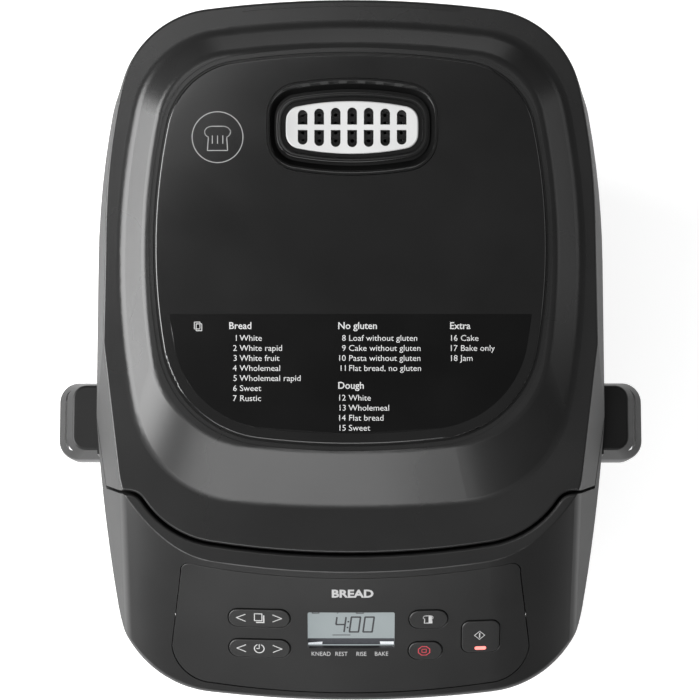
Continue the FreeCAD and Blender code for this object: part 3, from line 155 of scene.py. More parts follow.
def metal(name, dark, light, low, high, along=(1, 1, 60), scale=40.0, strength=0.05, **fixed):
    """Bare or plated metal with drawing or rolling lines and cloudy roughness."""
    paint = Paint(name, metallic=1.0, **fixed)
    lines = paint.noise(scale, 4.0, along)
    paint.colour(lines, dark, light)
    paint.rough(paint.noise(30.0, 4.0), low, high)
    paint.bump(lines, strength, ROLLING_DEPTH)
    return paint


def coat_nodes(paint, *names):
    for name in names:
        slots = NODES[name].data.materials
        slots.clear()
        slots.append(paint.mat)


def casing_plastic(name, dark, light, low, high, shine=0.5):
    """Satin black with a fine grain and broad patches of slightly different gloss."""
    return plastic(name, dark, light, low, high, 3200.0, 0.10, 9.0, Specular_IOR_Level=shine)


def dull_walls(paint):
    """The upright walls carry a deeper moulded grain, so they are duller than the tops."""
    parts = paint.node("ShaderNodeSeparateXYZ")
    paint.link(paint.tree.nodes["Texture Coordinate"].outputs["Normal"], parts.inputs["Vector"])
    upright = paint.spread(parts.outputs["Z"], WALL_DULLNESS, 0.0, WALL_TO_TOP)
    total = paint.node("ShaderNodeMath", operation="ADD", use_clamp=True)
    paint.link(paint.shader.inputs["Roughness"].links[0].from_socket, total.inputs[0])
    paint.link(upright, total.inputs[1])
    paint.link(total.outputs["Value"], paint.shader.inputs["Roughness"])
    return paint


def paint_casing():
    """The covers, handles and keys: satin black plastic."""
    casing = casing_plastic("casing_black", grey(0.0105), grey(0.0135), 0.26, 0.34)
    coat_nodes(dull_walls(casing), "body_shell")
    lid = casing_plastic("lid_black", grey(0.0105), grey(0.014), 0.24, 0.31)
    coat_nodes(dull_walls(lid), "lid_shell")
    coat_nodes(casing_plastic("fascia_black", grey(0.0125), grey(0.0165), 0.27, 0.36), "control_panel")
    coat_nodes(casing_plastic("handle_black", grey(0.007), grey(0.0095), 0.36, 0.46, 0.3),
               "handle_left", "handle_right")
    coat_nodes(casing_plastic("key_black", grey(0.010), grey(0.0145), 0.36, 0.44),
               "menu_key", "timer_key", "size_key", "stop_key", "start_key")
    coat_nodes(casing_plastic("deck_black", grey(0.012), grey(0.017), 0.42, 0.52),
               "body_deck", "hinge_bracket", "hinge_arm", "cord_gland")


def paint_lid_trim_and_window():
    """The lid's gloss panel and steam vent, and the display behind its window."""
    gloss = Paint("gloss_black", Coat_Weight=0.6, Coat_Roughness=0.04)
    gloss.colour(gloss.noise(30.0, 3.0), grey(0.0045), grey(0.0065))
    gloss.rough(gloss.noise(22.0, 6.0), 0.13, 0.19)
    gloss.bump(gloss.noise(9.0, 1.0), 0.02, 0.0004)
    coat_nodes(gloss, "gloss_panel")

    white = plastic("vent_white", grey(0.57), (0.63, 0.635, 0.63), 0.42, 0.55, 2300.0, 0.32)
    coat_nodes(white, "steam_grille")
    ring = plastic("vent_ring_black", grey(0.005), grey(0.0075), 0.07, 0.12, 900.0, 0.01, Coat_Weight=0.4)
    coat_nodes(ring, "vent_bezel")
    coat_nodes(plastic("duct_black", grey(0.014), grey(0.022), 0.5, 0.62), "steam_duct", "lid_frame")

    glass = Paint("display_window", Alpha=0.12)
    glass.colour(glass.noise(8.0, 2.0), (0.03, 0.032, 0.035), (0.04, 0.042, 0.046))
    glass.rough(glass.noise(35.0, 5.0), 0.04, 0.09)
    coat_nodes(glass, "lcd_window")
    # The display cell gets painted glow in place of the light it reflects.
    coat_nodes(lcd_painted_light(), "lcd_module")


def paint_metal_parts():
    """Sheet, castings, shafts and fasteners, the heater and the coated pan."""
    sheet = metal("pressed_steel", grey(0.42), grey(0.5), 0.28, 0.4, (1, 40, 1), 30.0)
    coat_nodes(sheet, "lid_inner_plate", "heater_clips")
    coat_nodes(spangled("galvanised_steel", 0.5, 0.62), "base_plate", "chassis", "motor_end_caps")
    coat_nodes(spangled("aluminised_steel", 0.52, 0.6), "baking_chamber", "heat_shield")
    coat_nodes(metal("trim_steel", grey(0.5), grey(0.58), 0.2, 0.3, (60, 1, 1)), "chamber_trim")
    cast = metal("cast_aluminium", grey(0.5), grey(0.6), 0.4, 0.55, (1, 1, 1), 90.0, 0.25)
    coat_nodes(cast, "bearing_housing", "pan_base", "pan_seat", "motor_pulley")
    coat_nodes(metal("ground_steel", grey(0.5), grey(0.6), 0.16, 0.26, (1, 1, 90), 60.0),
               "drive_shaft", "motor_shaft", "paddle_shaft", "hinge_pin", "drive_coupling", "pan_bail")
    coat_nodes(metal("screw_zinc", (0.42, 0.42, 0.44), (0.55, 0.55, 0.56), 0.25, 0.38), "screws")
    bronze = metal("bronze", (0.42, 0.26, 0.11), (0.52, 0.33, 0.15), 0.3, 0.42)
    coat_nodes(bronze, "shaft_bushes", "pan_bush")

    heater = metal("heater_sheath", (0.07, 0.065, 0.06), (0.14, 0.12, 0.10), 0.42, 0.6, (1, 1, 1), 160.0)
    coat_nodes(heater, "heater_element")
    ceramic = plastic("ceramic", (0.72, 0.70, 0.64), (0.8, 0.78, 0.73), 0.5, 0.62, 900.0, 0.2)
    coat_nodes(ceramic, "heater_bushes")
    coat_nodes(metal("sensor_steel", grey(0.45), grey(0.55), 0.25, 0.35, (60, 1, 1)), "temperature_sensor")
    coat_nodes(nonstick(), "bread_pan", "kneading_blade")


def paint_drive_and_electrics():
    """Feet, belt, seal, motor, boards and the start light."""
    coat_nodes(plastic("foot_rubber", grey(0.022), grey(0.034), 0.72, 0.86, 1500.0, 0.3), "rubber_feet")
    belt = Paint("belt_rubber")
    belt.colour(belt.noise(60.0, 3.0), grey(0.018), grey(0.03)).rough(belt.noise(40.0), 0.6, 0.75)
    belt.bump(belt.wave(650.0), 0.6, 0.0004)
    coat_nodes(belt, "drive_belt")
    seal = plastic("seal_silicone", (0.23, 0.24, 0.25), (0.29, 0.30, 0.31), 0.5, 0.62, 700.0, 0.1,
                   Subsurface_Weight=0.1)
    coat_nodes(seal, "lid_seal")

    copper = Paint("winding_copper", metallic=1.0)
    copper.colour(copper.noise(200.0, 3.0), (0.42, 0.15, 0.06), (0.60, 0.25, 0.11))
    copper.rough(copper.noise(120.0), 0.28, 0.42).bump(copper.wave(900.0, 2.0), 0.9, 0.0005)
    coat_nodes(copper, "motor_windings")
    stack = Paint("lamination_steel", metallic=1.0)
    stack.colour(stack.noise(60.0, 4.0), grey(0.20), grey(0.3)).rough(stack.noise(50.0), 0.38, 0.52)
    stack.bump(stack.wave(320.0), 0.8, 0.0003)
    coat_nodes(stack, "motor_stator", "motor_rotor")
    coat_nodes(plastic("fan_plastic", grey(0.5), (0.58, 0.57, 0.54), 0.4, 0.52), "motor_fan")
    coat_nodes(metal("can_aluminium", grey(0.55), grey(0.65), 0.24, 0.36, (1, 1, 40)), "run_capacitor")

    coat_nodes(circuit_board(), "power_board", "control_board")
    coat_nodes(plastic("component_grey", grey(0.03), grey(0.05), 0.4, 0.55, 1800.0, 0.2),
               "board_parts", "large_pulley")
    lens = Paint("led_lens", Transmission_Weight=0.3, Emission_Color=(1.0, 0.16, 0.14, 1.0),
                 Emission_Strength=1.6)
    lens.colour(lens.noise(300.0), (0.8, 0.25, 0.24), (0.9, 0.34, 0.3)).rough(lens.noise(90.0), 0.2, 0.3)
    coat_nodes(lens, "start_led_lens")


def spangled(name, low, high):
    """Zinc or aluminium coated sheet: crystal patches of slightly different brightness."""
    paint = Paint(name, metallic=1.0)
    cells = paint.cells(140.0)
    paint.colour(cells, grey(low), grey(high), (0.1, 0.8)).rough(paint.noise(60.0, 4.0), 0.28, 0.42)
    paint.bump(paint.noise(500.0, 2.0), 0.08, 0.0001)
    return paint


def nonstick():
    """Dark grey speckled coating on aluminium."""
    paint = Paint("nonstick_coating", metallic=0.35)
    paint.colour(paint.noise(25.0, 4.0), grey(0.055), grey(0.075)).rough(paint.noise(40.0), 0.34, 0.46)
    paint.over(paint.spread(paint.cells(420.0), 1.0, 0.0, (0.14, 0.2)), grey(0.2))
    paint.bump(paint.noise(1600.0, 2.0), 0.22, 0.00012)
    return paint


def circuit_board():
    """Green solder mask over copper tracks."""
    paint = Paint("circuit_board")
    tracks = paint.node("ShaderNodeTexBrick", Scale=150.0)
    tracks.inputs["Color1"].default_value = (0.01, 0.09, 0.035, 1)
    tracks.inputs["Color2"].default_value = (0.012, 0.12, 0.045, 1)
    tracks.inputs["Mortar"].default_value = (0.03, 0.2, 0.08, 1)
    tracks.inputs["Mortar Size"].default_value = 0.05
    paint.link(paint.mapped(), tracks.inputs["Vector"])
    paint.link(tracks.outputs["Color"], paint.shader.inputs["Base Color"])
    paint.rough(paint.noise(90.0), 0.24, 0.36)
    paint.bump(tracks.outputs["Fac"], 0.3, 0.0001)
    return paint


def lcd_painted_light():
    """The liquid crystal cell with painted glow: a blue-grey emission stands in for the lamplight the cell
    reflects, very slightly cloudy.
    """
    paint = Paint("lcd_cell_painted_glow", Emission_Strength=1.0, Specular_IOR_Level=0.3)
    # Painted glow: the cell's brightness comes from emission, not from light reflected off the lamps.
    painted_glow = paint.blend(paint.noise(28.0, 2.0), (0.40, 0.455, 0.465), (0.435, 0.49, 0.50))
    paint.link(painted_glow, paint.shader.inputs["Emission Color"])
    paint.colour(paint.noise(40.0, 2.0), grey(0.05), grey(0.06)).rough(paint.noise(50.0), 0.3, 0.4)
    return paint


paint_casing()
paint_lid_trim_and_window()
paint_metal_parts()
paint_drive_and_electrics()


# ---- printed faces: a point on each in metres, and its slope ----------------------------------------
LID_ORIGIN, LID_TILT = (0, 0, 0.3194), radians(9.0)
PANEL_ORIGIN, PANEL_TILT = (0, -0.15075, 0.279), radians(34.8)
REACH = 0.03                       # a face is looked for from this far above its tilted plane
INK_THICKNESS = 0.03               # in millimetres
LETTER_CURVE_STEPS = 3
CORNER_STEPS = 2


class Face:
    """A tilted face of a node. u runs to the right and v up the slope, in millimetres."""

    def __init__(self, node, origin, tilt):
        mesh = NODES[node].data
        corners = [v.co for v in mesh.vertices]
        self.skin = BVHTree.FromPolygons(corners, [p.vertices for p in mesh.polygons])
        self.origin = Vector(origin)
        self.up = Vector((0, cos(tilt), sin(tilt)))
        self.out = Vector((0, -sin(tilt), cos(tilt)))

    def point(self, u, v, lift):
        above = self.origin + Vector((u, 0, 0)) * MM + self.up * v * MM + self.out * REACH
        hit = self.skin.ray_cast(above, -self.out)[0]
        return (hit or above - self.out * REACH) + self.out * lift * MM


def letter_mesh(words, weight):
    """Lettering as a mesh, one millimetre tall in its capitals, with z running from 0 to 1."""
    meshes = []
    for text in ("H", words):
        curve = bpy.data.curves.new("letters", "FONT")
        curve.body = text
        curve.extrude = 0.5
        curve.resolution_u = LETTER_CURVE_STEPS
        curve.offset = weight if text is words else 0.0
        holder = bpy.data.objects.new("letters", curve)
        bpy.context.scene.collection.objects.link(holder)
        bpy.context.view_layer.update()
        shape = holder.evaluated_get(bpy.context.evaluated_depsgraph_get())
        meshes.append(bpy.data.meshes.new_from_object(shape))
        bpy.data.objects.remove(holder)
    cap = max(v.co.y for v in meshes[0].vertices)
    for v in meshes[1].vertices:
        v.co = (v.co.x / cap, v.co.y / cap, v.co.z + 0.5)
    return meshes[1]


class Print:
    """Ink, film or a thin inlay that follows a face, as closed shapes of one thickness."""

    def __init__(self, face, thickness=INK_THICKNESS, lift=0.005):
        self.face = face
        self.thickness = thickness
        self.lift = lift
        self.points = []
        self.faces = []

    def add(self, points, faces):
        start = len(self.points)
        for u, v, high in points:
            self.points.append(self.face.point(u, v, self.lift + high * self.thickness))
        self.faces += [[start + i for i in face] for face in faces]

    def prism(self, outline):
        count = len(outline)
        points = [(u, v, 0) for u, v in outline] + [(u, v, 1) for u, v in outline]
        sides = [(i, (i + 1) % count, (i + 1) % count + count, i + count) for i in range(count)]
        self.add(points, [tuple(range(count))[::-1], tuple(range(count, 2 * count))] + sides)

    def words(self, text, u, v, cap, align=0.0, weight=0.0, squeeze=1.0):
        mesh = letter_mesh(text, weight)
        width = max(p.co.x for p in mesh.vertices) * cap * squeeze
        left = u - align * width
        points = [(left + p.co.x * cap * squeeze, v + p.co.y * cap, p.co.z) for p in mesh.vertices]
        self.add(points, [tuple(p.vertices) for p in mesh.polygons])

    def line(self, points, width, closed=False):
        ends = points[1:] + points[:1] if closed else points[1:]
        for (u0, v0), (u1, v1) in zip(points, ends):
            run = Vector((u1 - u0, v1 - v0)).normalized() * width / 2
            side = Vector((-run.y, run.x))
            a, b = Vector((u0, v0)) - run, Vector((u1, v1)) + run
            self.prism([tuple(a - side), tuple(b - side), tuple(b + side), tuple(a + side)])

    def ring(self, u, v, radius, width, first=0.0, last=360.0, steps=32):
        inner, outer = radius - width / 2, radius + width / 2
        turn = [radians(first + (last - first) * i / steps) for i in range(steps + 1)]
        for a, b in zip(turn, turn[1:]):
            corners = ((outer, a), (outer, b), (inner, b), (inner, a))
            self.prism([(u + r * cos(t), v + r * sin(t)) for r, t in corners])

    def done(self, name, body, paint, slot):
        mesh = bpy.data.meshes.new(name)
        mesh.from_pydata(self.points, [], self.faces)
        mesh.materials.append(paint.mat)
        piece = bpy.data.objects.new(name, mesh)
        bpy.context.scene.collection.objects.link(piece)
        solid = bmesh.new()
        solid.from_mesh(mesh)
        bmesh.ops.recalc_face_normals(solid, faces=solid.faces)
        solid.to_mesh(mesh)
        solid.free()
        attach(piece, body)


def rounded_box(u, v, half_u, half_v, r):
    """Corner by corner: the side it is on, and the angle at which its arc starts."""
    outline = []
    for side_u, side_v, first in ((1, -1, -90), (1, 1, 0), (-1, 1, 90), (-1, -1, 180)):
        for i in range(CORNER_STEPS + 1):
            turn = radians(first + 90 * i / CORNER_STEPS)
            outline.append((u + side_u * (half_u - r) + r * cos(turn),
                            v + side_v * (half_v - r) + r * sin(turn)))
    return outline


def slice_outline(u, v, half_u, half_v):
    """A slice of tin bread: straight foot and two round shoulders."""
    foot = [(u - half_u * 0.78, v - half_v), (u + half_u * 0.78, v - half_v)]
    right = [(u + half_u * 0.42 + half_u * 0.58 * cos(a), v + half_v * 0.52 + half_v * 0.48 * sin(a))
             for a in (radians(d) for d in range(-60, 91, 15))]
    left = [(2 * u - x, y) for x, y in reversed(right)]
    return foot + right + left


def ink(name, level, tint=(1.0, 1.0, 1.0)):
    """Screen-printed ink: one colour with a fine mottle."""
    paint = Paint(name)
    first = tuple(level * c for c in tint)
    paint.colour(paint.noise(900.0, 2.0), first, tuple(0.9 * c for c in first))
    paint.rough(paint.noise(300.0), 0.4, 0.55).bump(paint.noise(2500.0, 1.0), 0.1, 0.00002)
    return paint


def painted_glow(name, colour, strength):
    """Painted glow on a part with no lamp behind it: an emission colour, a little uneven."""
    paint = Paint(name, Emission_Strength=strength)
    shade = paint.blend(paint.noise(260.0, 1.0), tuple(0.86 * c for c in colour), colour)
    paint.link(shade, paint.shader.inputs["Emission Color"])
    paint.colour(paint.noise(300.0), grey(0.5), grey(0.6)).rough(paint.noise(90.0), 0.2, 0.3)
    return paint


# ---- printing on the lid, in millimetres ------------------------------------------------------------
STROKE = 0.45                      # usual width of a printed line
PROGRAMMES = [  # heading, rows, left edge and the heading's baseline
    ("Bread", ["1  White", "2  White rapid", "3  White fruit", "4  Wholemeal", "5  Wholemeal rapid",
               "6  Sweet", "7  Rustic"], -60.4, 0.0),
    ("No gluten", ["8  Loaf without gluten", "9  Cake without gluten", "10  Pasta without gluten",
                   "11  Flat bread, no gluten"], -6.4, 0.0),
    ("Dough", ["12  White", "13  Wholemeal", "14  Flat bread", "15  Sweet"], -6.4, -29.6),
    ("Extra", ["16  Cake", "17  Bake only", "18  Jam"], 49.0, 0.0),
]
HEADING_CAP, HEADING_WEIGHT = 3.3, 0.012
ROW_CAP, ROW_SQUEEZE = 2.85, 1.04
FIRST_ROW = 5.9                    # from a heading's baseline down to its first row's
ROW_PITCH = 4.97
NUMBER_RIGHT = 4.0                 # right edge of the numbers, from the heading's left edge
NAME_LEFT = 5.4                    # left edge of the names, from the heading's left edge
PAGE_LEFT, PAGE_RIGHT, PAGE_TOP = -77.4, -74.6, 3.4
PAGE_OFFSET = 0.9                  # the second page of the list's sign lies this far down and right
LOAF_U, LOAF_V = -65.9, 95.0
LOAF_RING = 12.6

COVER_HALF_LENGTH = 54.0           # hinge cover
COVER_REAR = 163.0                 # its rear edge at the centre line
COVER_BOW = 1100.0                 # the edge curves away by u squared over this
COVER_DEPTH = 1.9
COVER_THICKNESS = 0.35
COVER_STEPS = 24

FILM_MARGIN = 4.4                  # how far the film stays inside the panel's edge
FILM_REAR = 7.4                    # the film's straight rear edge
FILM_LIFT = 0.03
FILM_THICKNESS = 0.02
CROWN_BAND = 2e-5                  # in metres: how far the panel's top faces lie below its highest point


def print_lid():
    face = Face("gloss_panel", LID_ORIGIN, LID_TILT)
    white = ink("lid_ink_white", 0.62)
    panel = Print(face, lift=0.05)
    for heading, rows, left, base in PROGRAMMES:
        panel.words(heading, left, base, HEADING_CAP, weight=HEADING_WEIGHT)
        for row, text in enumerate(rows):
            number, name = text.split("  ")
            foot = base - FIRST_ROW - ROW_PITCH * row
            panel.words(number, left + NUMBER_RIGHT, foot, ROW_CAP, align=1.0)
            panel.words(name, left + NAME_LEFT, foot, ROW_CAP, squeeze=ROW_SQUEEZE)
    for shift in (0.0, PAGE_OFFSET):
        left, right = PAGE_LEFT + shift, PAGE_RIGHT + shift
        foot, top = 0.0 - shift, PAGE_TOP - shift
        panel.line([(left, top), (left, foot), (right, foot), (right, top)], 0.35, True)
    panel.done("lid_programme_list", "lid", white, "gloss_black")

    mark = Print(face, lift=0.01)
    mark.ring(LOAF_U, LOAF_V, LOAF_RING, STROKE, steps=72)
    mark.line(slice_outline(LOAF_U, LOAF_V - 0.6, 6.4, 6.0), STROKE, True)
    for du in (-2.6, 0.0, 2.6):
        mark.line([(LOAF_U + du, LOAF_V - 3.0), (LOAF_U + du, LOAF_V + 0.6)], STROKE)
    mark.done("lid_loaf_mark", "lid", ink("lid_ink_grey", 0.36), "gloss_black")
    lid_film(face)


def hinge_cover():
    """Flat moulded strip on the lid's rear edge, over the hinge."""
    strip = Print(Face("lid_shell", LID_ORIGIN, LID_TILT), COVER_THICKNESS, 0.0)
    across = [COVER_HALF_LENGTH * (2 * i / COVER_STEPS - 1) for i in range(COVER_STEPS + 1)]
    for left, right in zip(across, across[1:]):
        rear = [COVER_REAR - u * u / COVER_BOW for u in (left, right)]
        strip.prism([(left, rear[0] - COVER_DEPTH), (right, rear[1] - COVER_DEPTH),
                     (right, rear[1]), (left, rear[0])])
    black = casing_plastic("cover_black", grey(0.008), grey(0.011), 0.22, 0.3)
    strip.done("lid_hinge_cover", "lid", black, "black_plastic")


def lid_film(face):
    """A printed black film over the front half of the gloss panel, behind the programme list."""
    mesh = bmesh.new()
    mesh.from_mesh(NODES["gloss_panel"].data)
    crown = max((v.co - face.origin).dot(face.out) for v in mesh.verts) - CROWN_BAND
    top = {f for f in mesh.faces if all((v.co - face.origin).dot(face.out) > crown for v in f.verts)}
    bmesh.ops.delete(mesh, geom=[f for f in mesh.faces if f not in top], context="FACES")
    bmesh.ops.remove_doubles(mesh, verts=mesh.verts, dist=1e-6)
    edge = face.origin + face.up * FILM_REAR * MM
    parts = mesh.verts[:] + mesh.edges[:] + mesh.faces[:]
    bmesh.ops.bisect_plane(mesh, geom=parts, plane_co=edge, plane_no=face.up, clear_outer=True)
    bmesh.ops.dissolve_limit(mesh, angle_limit=radians(0.5), verts=mesh.verts, edges=mesh.edges)
    across = max(v.co.x for v in mesh.verts)
    down = max((edge - v.co).dot(face.up) for v in mesh.verts)
    for v in mesh.verts:
        v.co.x *= 1 - FILM_MARGIN * MM / across
        v.co += face.up * (edge - v.co).dot(face.up) * FILM_MARGIN * MM / down + face.out * FILM_LIFT * MM
    grown = bmesh.ops.extrude_face_region(mesh, geom=mesh.faces[:])
    for v in grown["geom"]:
        if isinstance(v, bmesh.types.BMVert):
            v.co -= face.out * FILM_THICKNESS * MM
    bmesh.ops.recalc_face_normals(mesh, faces=mesh.faces)
    data = bpy.data.meshes.new("lid_film")
    mesh.to_mesh(data)
    mesh.free()
    paint = Paint("film_black", Specular_IOR_Level=0.25)
    paint.colour(paint.noise(30.0), grey(0.0025), grey(0.0035)).rough(paint.noise(24.0, 5.0), 0.2, 0.26)
    data.materials.append(paint.mat)
    piece = bpy.data.objects.new("lid_film", data)
    bpy.context.scene.collection.objects.link(piece)
    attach(piece, "lid")


# ---- printing on the keys, in millimetres -----------------------------------------------------------
ROCKER_U = -46.1                   # centres of the keys
MENU_V, TIMER_V = 10.6, -7.3
SIZE_U, SIZE_V = 39.1, 10.0
STOP_U, STOP_V = 37.2, -8.4
START_U, START_V = 65.2, -0.1
ARROW_TIP = 11.4                   # from a rocker's centre to an arrow's tip
ARROW_LENGTH, ARROW_HALF_HEIGHT = 4.4, 2.0
KEY_STROKE = 0.42


def key_print(node):
    return Print(Face(node, PANEL_ORIGIN, PANEL_TILT))


def rocker_arrows(art, v):
    for way in (-1, 1):  # left, right
        tip = ROCKER_U + way * ARROW_TIP
        end = tip - way * ARROW_LENGTH
        art.line([(end, v + ARROW_HALF_HEIGHT), (tip, v), (end, v - ARROW_HALF_HEIGHT)], KEY_STROKE)


def print_keys():
    white = ink("key_ink_white", 0.55)
    red = ink("key_ink_red", 0.6, (1.0, 0.11, 0.15))

    menu = key_print("menu_key")
    rocker_arrows(menu, MENU_V)
    left, right = ROCKER_U - 2.3, ROCKER_U + 1.5
    foot, top = MENU_V - 1.5, MENU_V + 2.5
    menu.line([(left, top), (left, foot), (right, foot), (right, top)], STROKE, True)
    left, right = left + 1.1, right + 0.9
    foot, top = foot - 1.0, top - 1.2
    menu.line([(left, foot), (right, foot), (right, top)], 0.6)
    menu.done("menu_key_print", "menu_rocker", white, "key_plastic")

    timer = key_print("timer_key")
    rocker_arrows(timer, TIMER_V)
    clock = ROCKER_U - 0.1
    timer.ring(clock, TIMER_V, 2.45, 0.5, 110.0, 430.0)
    timer.line([(clock, TIMER_V + 2.3), (clock, TIMER_V), (clock - 1.2, TIMER_V)], STROKE)
    timer.done("timer_key_print", "timer_rocker", white, "key_plastic")

    size = key_print("size_key")
    size.line(slice_outline(SIZE_U, SIZE_V, 2.5, 2.1), KEY_STROKE, True)
    half = [(0.2, -1.9), (1.9, -1.9), (2.1, 1.6), (1.5, 2.0), (0.2, 2.0)]  # the slice's filled half
    size.prism([(SIZE_U + du, SIZE_V + dv) for du, dv in half])
    size.done("size_key_print", "size_button", white, "key_plastic")

    stop = key_print("stop_key")
    octagon = [(STOP_U + 3.1 * cos(radians(a)), STOP_V + 2.7 * sin(radians(a)))
               for a in range(22, 360, 45)]
    stop.line(octagon, STROKE, True)
    stop.line(rounded_box(STOP_U, STOP_V, 1.1, 0.95, 0.2), 0.4, True)
    stop.done("stop_key_print", "stop_button", red, "key_plastic")

    start = key_print("start_key")
    start.line([(START_U, START_V + 2.4), (START_U + 2.6, START_V), (START_U, START_V - 2.4),
                (START_U - 2.6, START_V)], 0.34, True)
    start.line([(START_U, START_V + 1.1), (START_U, START_V - 1.1)], 0.6)
    start.done("start_key_print", "start_button", white, "key_plastic")


# ---- the display's figures and the panel's labels, in millimetres -----------------------------------
SEGMENTS = {"4": "bcfg", "0": "abcdef"}
CLOCK_DIGITS = (("4", -7.9), ("0", -0.6), ("0", 6.3))  # each digit and its left edge
DIGIT_FOOT, DIGIT_WIDTH, DIGIT_HEIGHT = 0.4, 4.6, 8.7
DIGIT_BAR = 0.85                   # width of a segment
DIGIT_SLANT = 0.12                 # lean to the right for each millimetre of height
COLON_U, COLON_DOTS = -1.9, (3.0, 6.4)
STAGES = (("KNEAD", -15.0), ("REST", -4.7), ("RISE", 5.4), ("BAKE", 15.6))  # label and its middle
STAGE_V, STAGE_CAP = -11.3, 2.35
TITLE_U, TITLE_V, TITLE_CAP = 0.9, 23.0, 4.2


def digit(art, text, left):
    """A seven-segment digit: a is its top bar, then clockwise to f, and g is the middle bar."""
    width, height = DIGIT_WIDTH, DIGIT_HEIGHT
    middle = height / 2
    bars = {
        "a": ((0.25, height), (width - 0.25, height)),
        "b": ((width, middle + 0.4), (width, height - 0.4)),
        "c": ((width, 0.4), (width, middle - 0.4)),
        "d": ((0.25, 0.0), (width - 0.25, 0.0)),
        "e": ((0.0, 0.4), (0.0, middle - 0.4)),
        "f": ((0.0, middle + 0.4), (0.0, height - 0.4)),
        "g": ((0.35, middle), (width - 0.35, middle)),
    }
    for key in SEGMENTS[text]:
        ends = [(left + u + DIGIT_SLANT * v, DIGIT_FOOT + v) for u, v in bars[key]]
        art.line(ends, DIGIT_BAR)


def print_display():
    """The display's figures lie on the cell, under the window."""
    cell = Face("lcd_module", PANEL_ORIGIN, PANEL_TILT)
    art = Print(cell, lift=0.03)
    for text, left in CLOCK_DIGITS:
        digit(art, text, left)
    for v in COLON_DOTS:
        art.prism(rounded_box(COLON_U + DIGIT_SLANT * v, v, 0.45, 0.45, 0.1))
    art.line([(-8.9, -1.4), (-0.3, -1.4)], 0.42)
    art.done("display_figures", "housing", ink("display_figures_ink", 0.075, (1.0, 1.0, 1.08)), "lcd_grey")

    faint = Print(cell, lift=0.03)
    faint.line([(-19.3, 13.4), (-19.3, 11.4), (-16.0, 11.4), (-16.0, 13.4)], 0.5)
    faint.line([(-6.4, 13.4), (-6.6, 11.4)], 0.5)
    faint.line([(3.0, 13.4), (3.0, 11.3), (6.4, 11.3), (6.4, 13.4)], 0.5)
    faint.line([(3.6, 12.0), (5.0, 13.4)], 0.4)
    faint.line([(4.6, 11.9), (6.0, 13.3)], 0.4)
    faint.done("display_symbols", "housing", ink("display_symbols_ink", 0.15, (1.0, 1.0, 1.05)), "lcd_grey")

    strip = Print(cell, 0.05, 0.0)
    strip.prism(rounded_box(0.3, -5.1, 21.9, 1.75, 0.3))
    dark = ink("display_strip_ink", 0.085, (0.95, 1.0, 1.15))
    strip.done("display_stage_strip", "housing", dark, "lcd_grey")
    # The two bright ends of the stage strip are painted glow: emission on a cell with no lamp behind it.
    painted_glow_ends = Print(cell, 0.04, 0.06)
    painted_glow_ends.prism([(-21.4, -6.8), (-14.4, -6.8), (-14.2, -5.3), (-21.4, -5.9)])
    painted_glow_ends.prism([(15.1, -6.8), (21.9, -6.8), (21.9, -5.2), (14.8, -5.2)])
    painted_glow_ends.done("display_stage_painted_glow", "housing", painted_glow("stage_painted_glow", (0.9, 0.95, 1.0), 0.9), "lcd_grey")


def print_panel():
    labels = Print(Face("control_panel", PANEL_ORIGIN, PANEL_TILT))
    white = ink("panel_ink_white", 0.5)
    for text, u in STAGES:
        labels.words(text, u, STAGE_V, STAGE_CAP, align=0.5, squeeze=0.86)
    labels.words("BREAD", TITLE_U, TITLE_V, TITLE_CAP, align=0.5, weight=0.035, squeeze=1.12)
    labels.done("panel_labels", "housing", white, "fascia_plastic")


print_lid()
hinge_cover()
print_keys()
print_display()
print_panel()


# ---- floor, lights and camera, in metres ------------------------------------------------------------
FLOOR_HALF = 6.0
MIDDLE_OF_MACHINE = (0, 0, 0.3)
SOFT_BOXES = [  # name, place, point it faces, width, height, watts, turn about its own axis in degrees
    ("key_left", (-1.4, -0.15, 0.96), MIDDLE_OF_MACHINE, 1.6, 1.15, 56.0, 0.0),
    ("front_fill", (-0.35, -1.4, 1.6), MIDDLE_OF_MACHINE, 1.2, 0.8, 13.5, 0.0),
    ("rear_fill", (0.2, 1.9, 0.7), MIDDLE_OF_MACHINE, 1.5, 0.8, 3.0, 0.0),
    ("right_fill", (1.9, 0.3, 1.0), (0, 0, 0.2), 1.2, 1.0, 3.5, 0.0),
    ("overhead", (-0.36, 0.17, 2.4), (-0.36, 0.17, 0.0), 0.5, 0.9, 4.2, -37.0),
]
WORLD_STRENGTH = 0.16
LENS, SENSOR_WIDTH = 152.7, 36.0   # in millimetres
SIDE_SHIFT = -0.0008
VIEW_TARGET = (0.0, -0.0075, 0.300)
VIEW_DISTANCE = 1.5
VIEW_RISE = radians(81.0)          # the camera looks down from this far above level


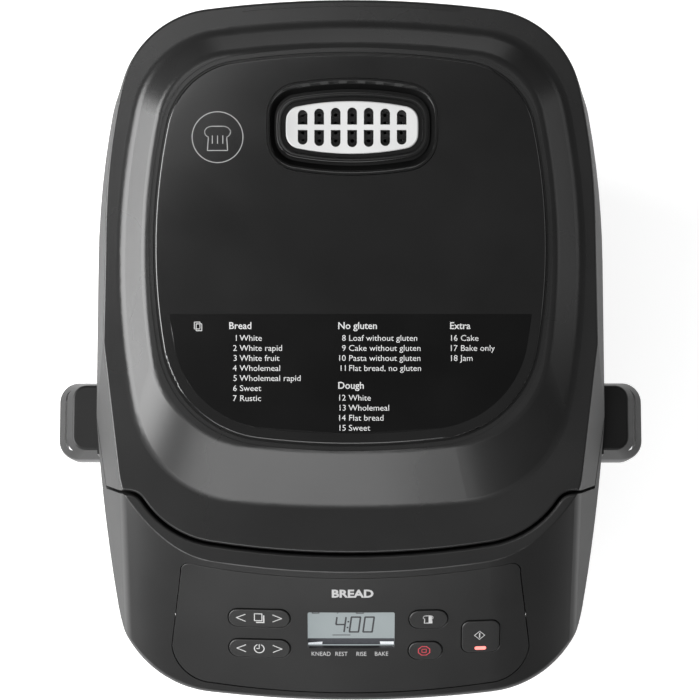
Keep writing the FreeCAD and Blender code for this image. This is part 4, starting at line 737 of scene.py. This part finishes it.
def stage_floor():
    mesh = bpy.data.meshes.new("floor")
    corners = [(-FLOOR_HALF, -FLOOR_HALF, 0), (FLOOR_HALF, -FLOOR_HALF, 0),
               (FLOOR_HALF, FLOOR_HALF, 0), (-FLOOR_HALF, FLOOR_HALF, 0)]
    mesh.from_pydata(corners, [], [(0, 1, 2, 3)])
    floor = bpy.data.objects.new("floor", mesh)
    bpy.context.scene.collection.objects.link(floor)
    paint = Paint("floor_paper", Specular_IOR_Level=0.1, Emission_Color=(1.0, 1.0, 1.0, 1.0),
                  Emission_Strength=0.78)
    paint.colour(paint.noise(3.0, 2.0), grey(0.60), grey(0.62)).rough(paint.noise(8.0), 0.8, 0.9)
    mesh.materials.append(paint.mat)


def soft_box(name, place, aim, width, height, power, turn):
    light = bpy.data.lights.new(name, "AREA")
    light.shape = "RECTANGLE"
    light.size = width
    light.size_y = height
    light.energy = power
    lamp = bpy.data.objects.new(name, light)
    lamp.location = place
    facing = (Vector(aim) - Vector(place)).to_track_quat("-Z", "Y").to_matrix()
    lamp.rotation_euler = (facing @ Matrix.Rotation(radians(turn), 3, "Z")).to_euler()
    bpy.context.scene.collection.objects.link(lamp)


def studio():
    world = bpy.data.worlds.new("studio")
    bpy.context.scene.world = world
    world.use_nodes = True
    sky = world.node_tree.nodes["Background"]
    sky.inputs["Color"].default_value = (1.0, 1.0, 1.0, 1.0)
    sky.inputs["Strength"].default_value = WORLD_STRENGTH
    for box in SOFT_BOXES:
        soft_box(*box)
    bpy.context.scene.view_settings.view_transform = "Standard"


def camera():
    data = bpy.data.cameras.new("camera")
    data.lens = LENS
    data.sensor_width = SENSOR_WIDTH
    data.dof.use_dof = False
    data.shift_x = SIDE_SHIFT
    eye = bpy.data.objects.new("camera", data)
    target = Vector(VIEW_TARGET)
    eye.location = target + VIEW_DISTANCE * Vector((0.0, -cos(VIEW_RISE), sin(VIEW_RISE)))
    eye.rotation_euler = (target - eye.location).to_track_quat("-Z", "Y").to_euler()
    bpy.context.scene.collection.objects.link(eye)
    bpy.context.scene.camera = eye


stage_floor()
studio()
camera()
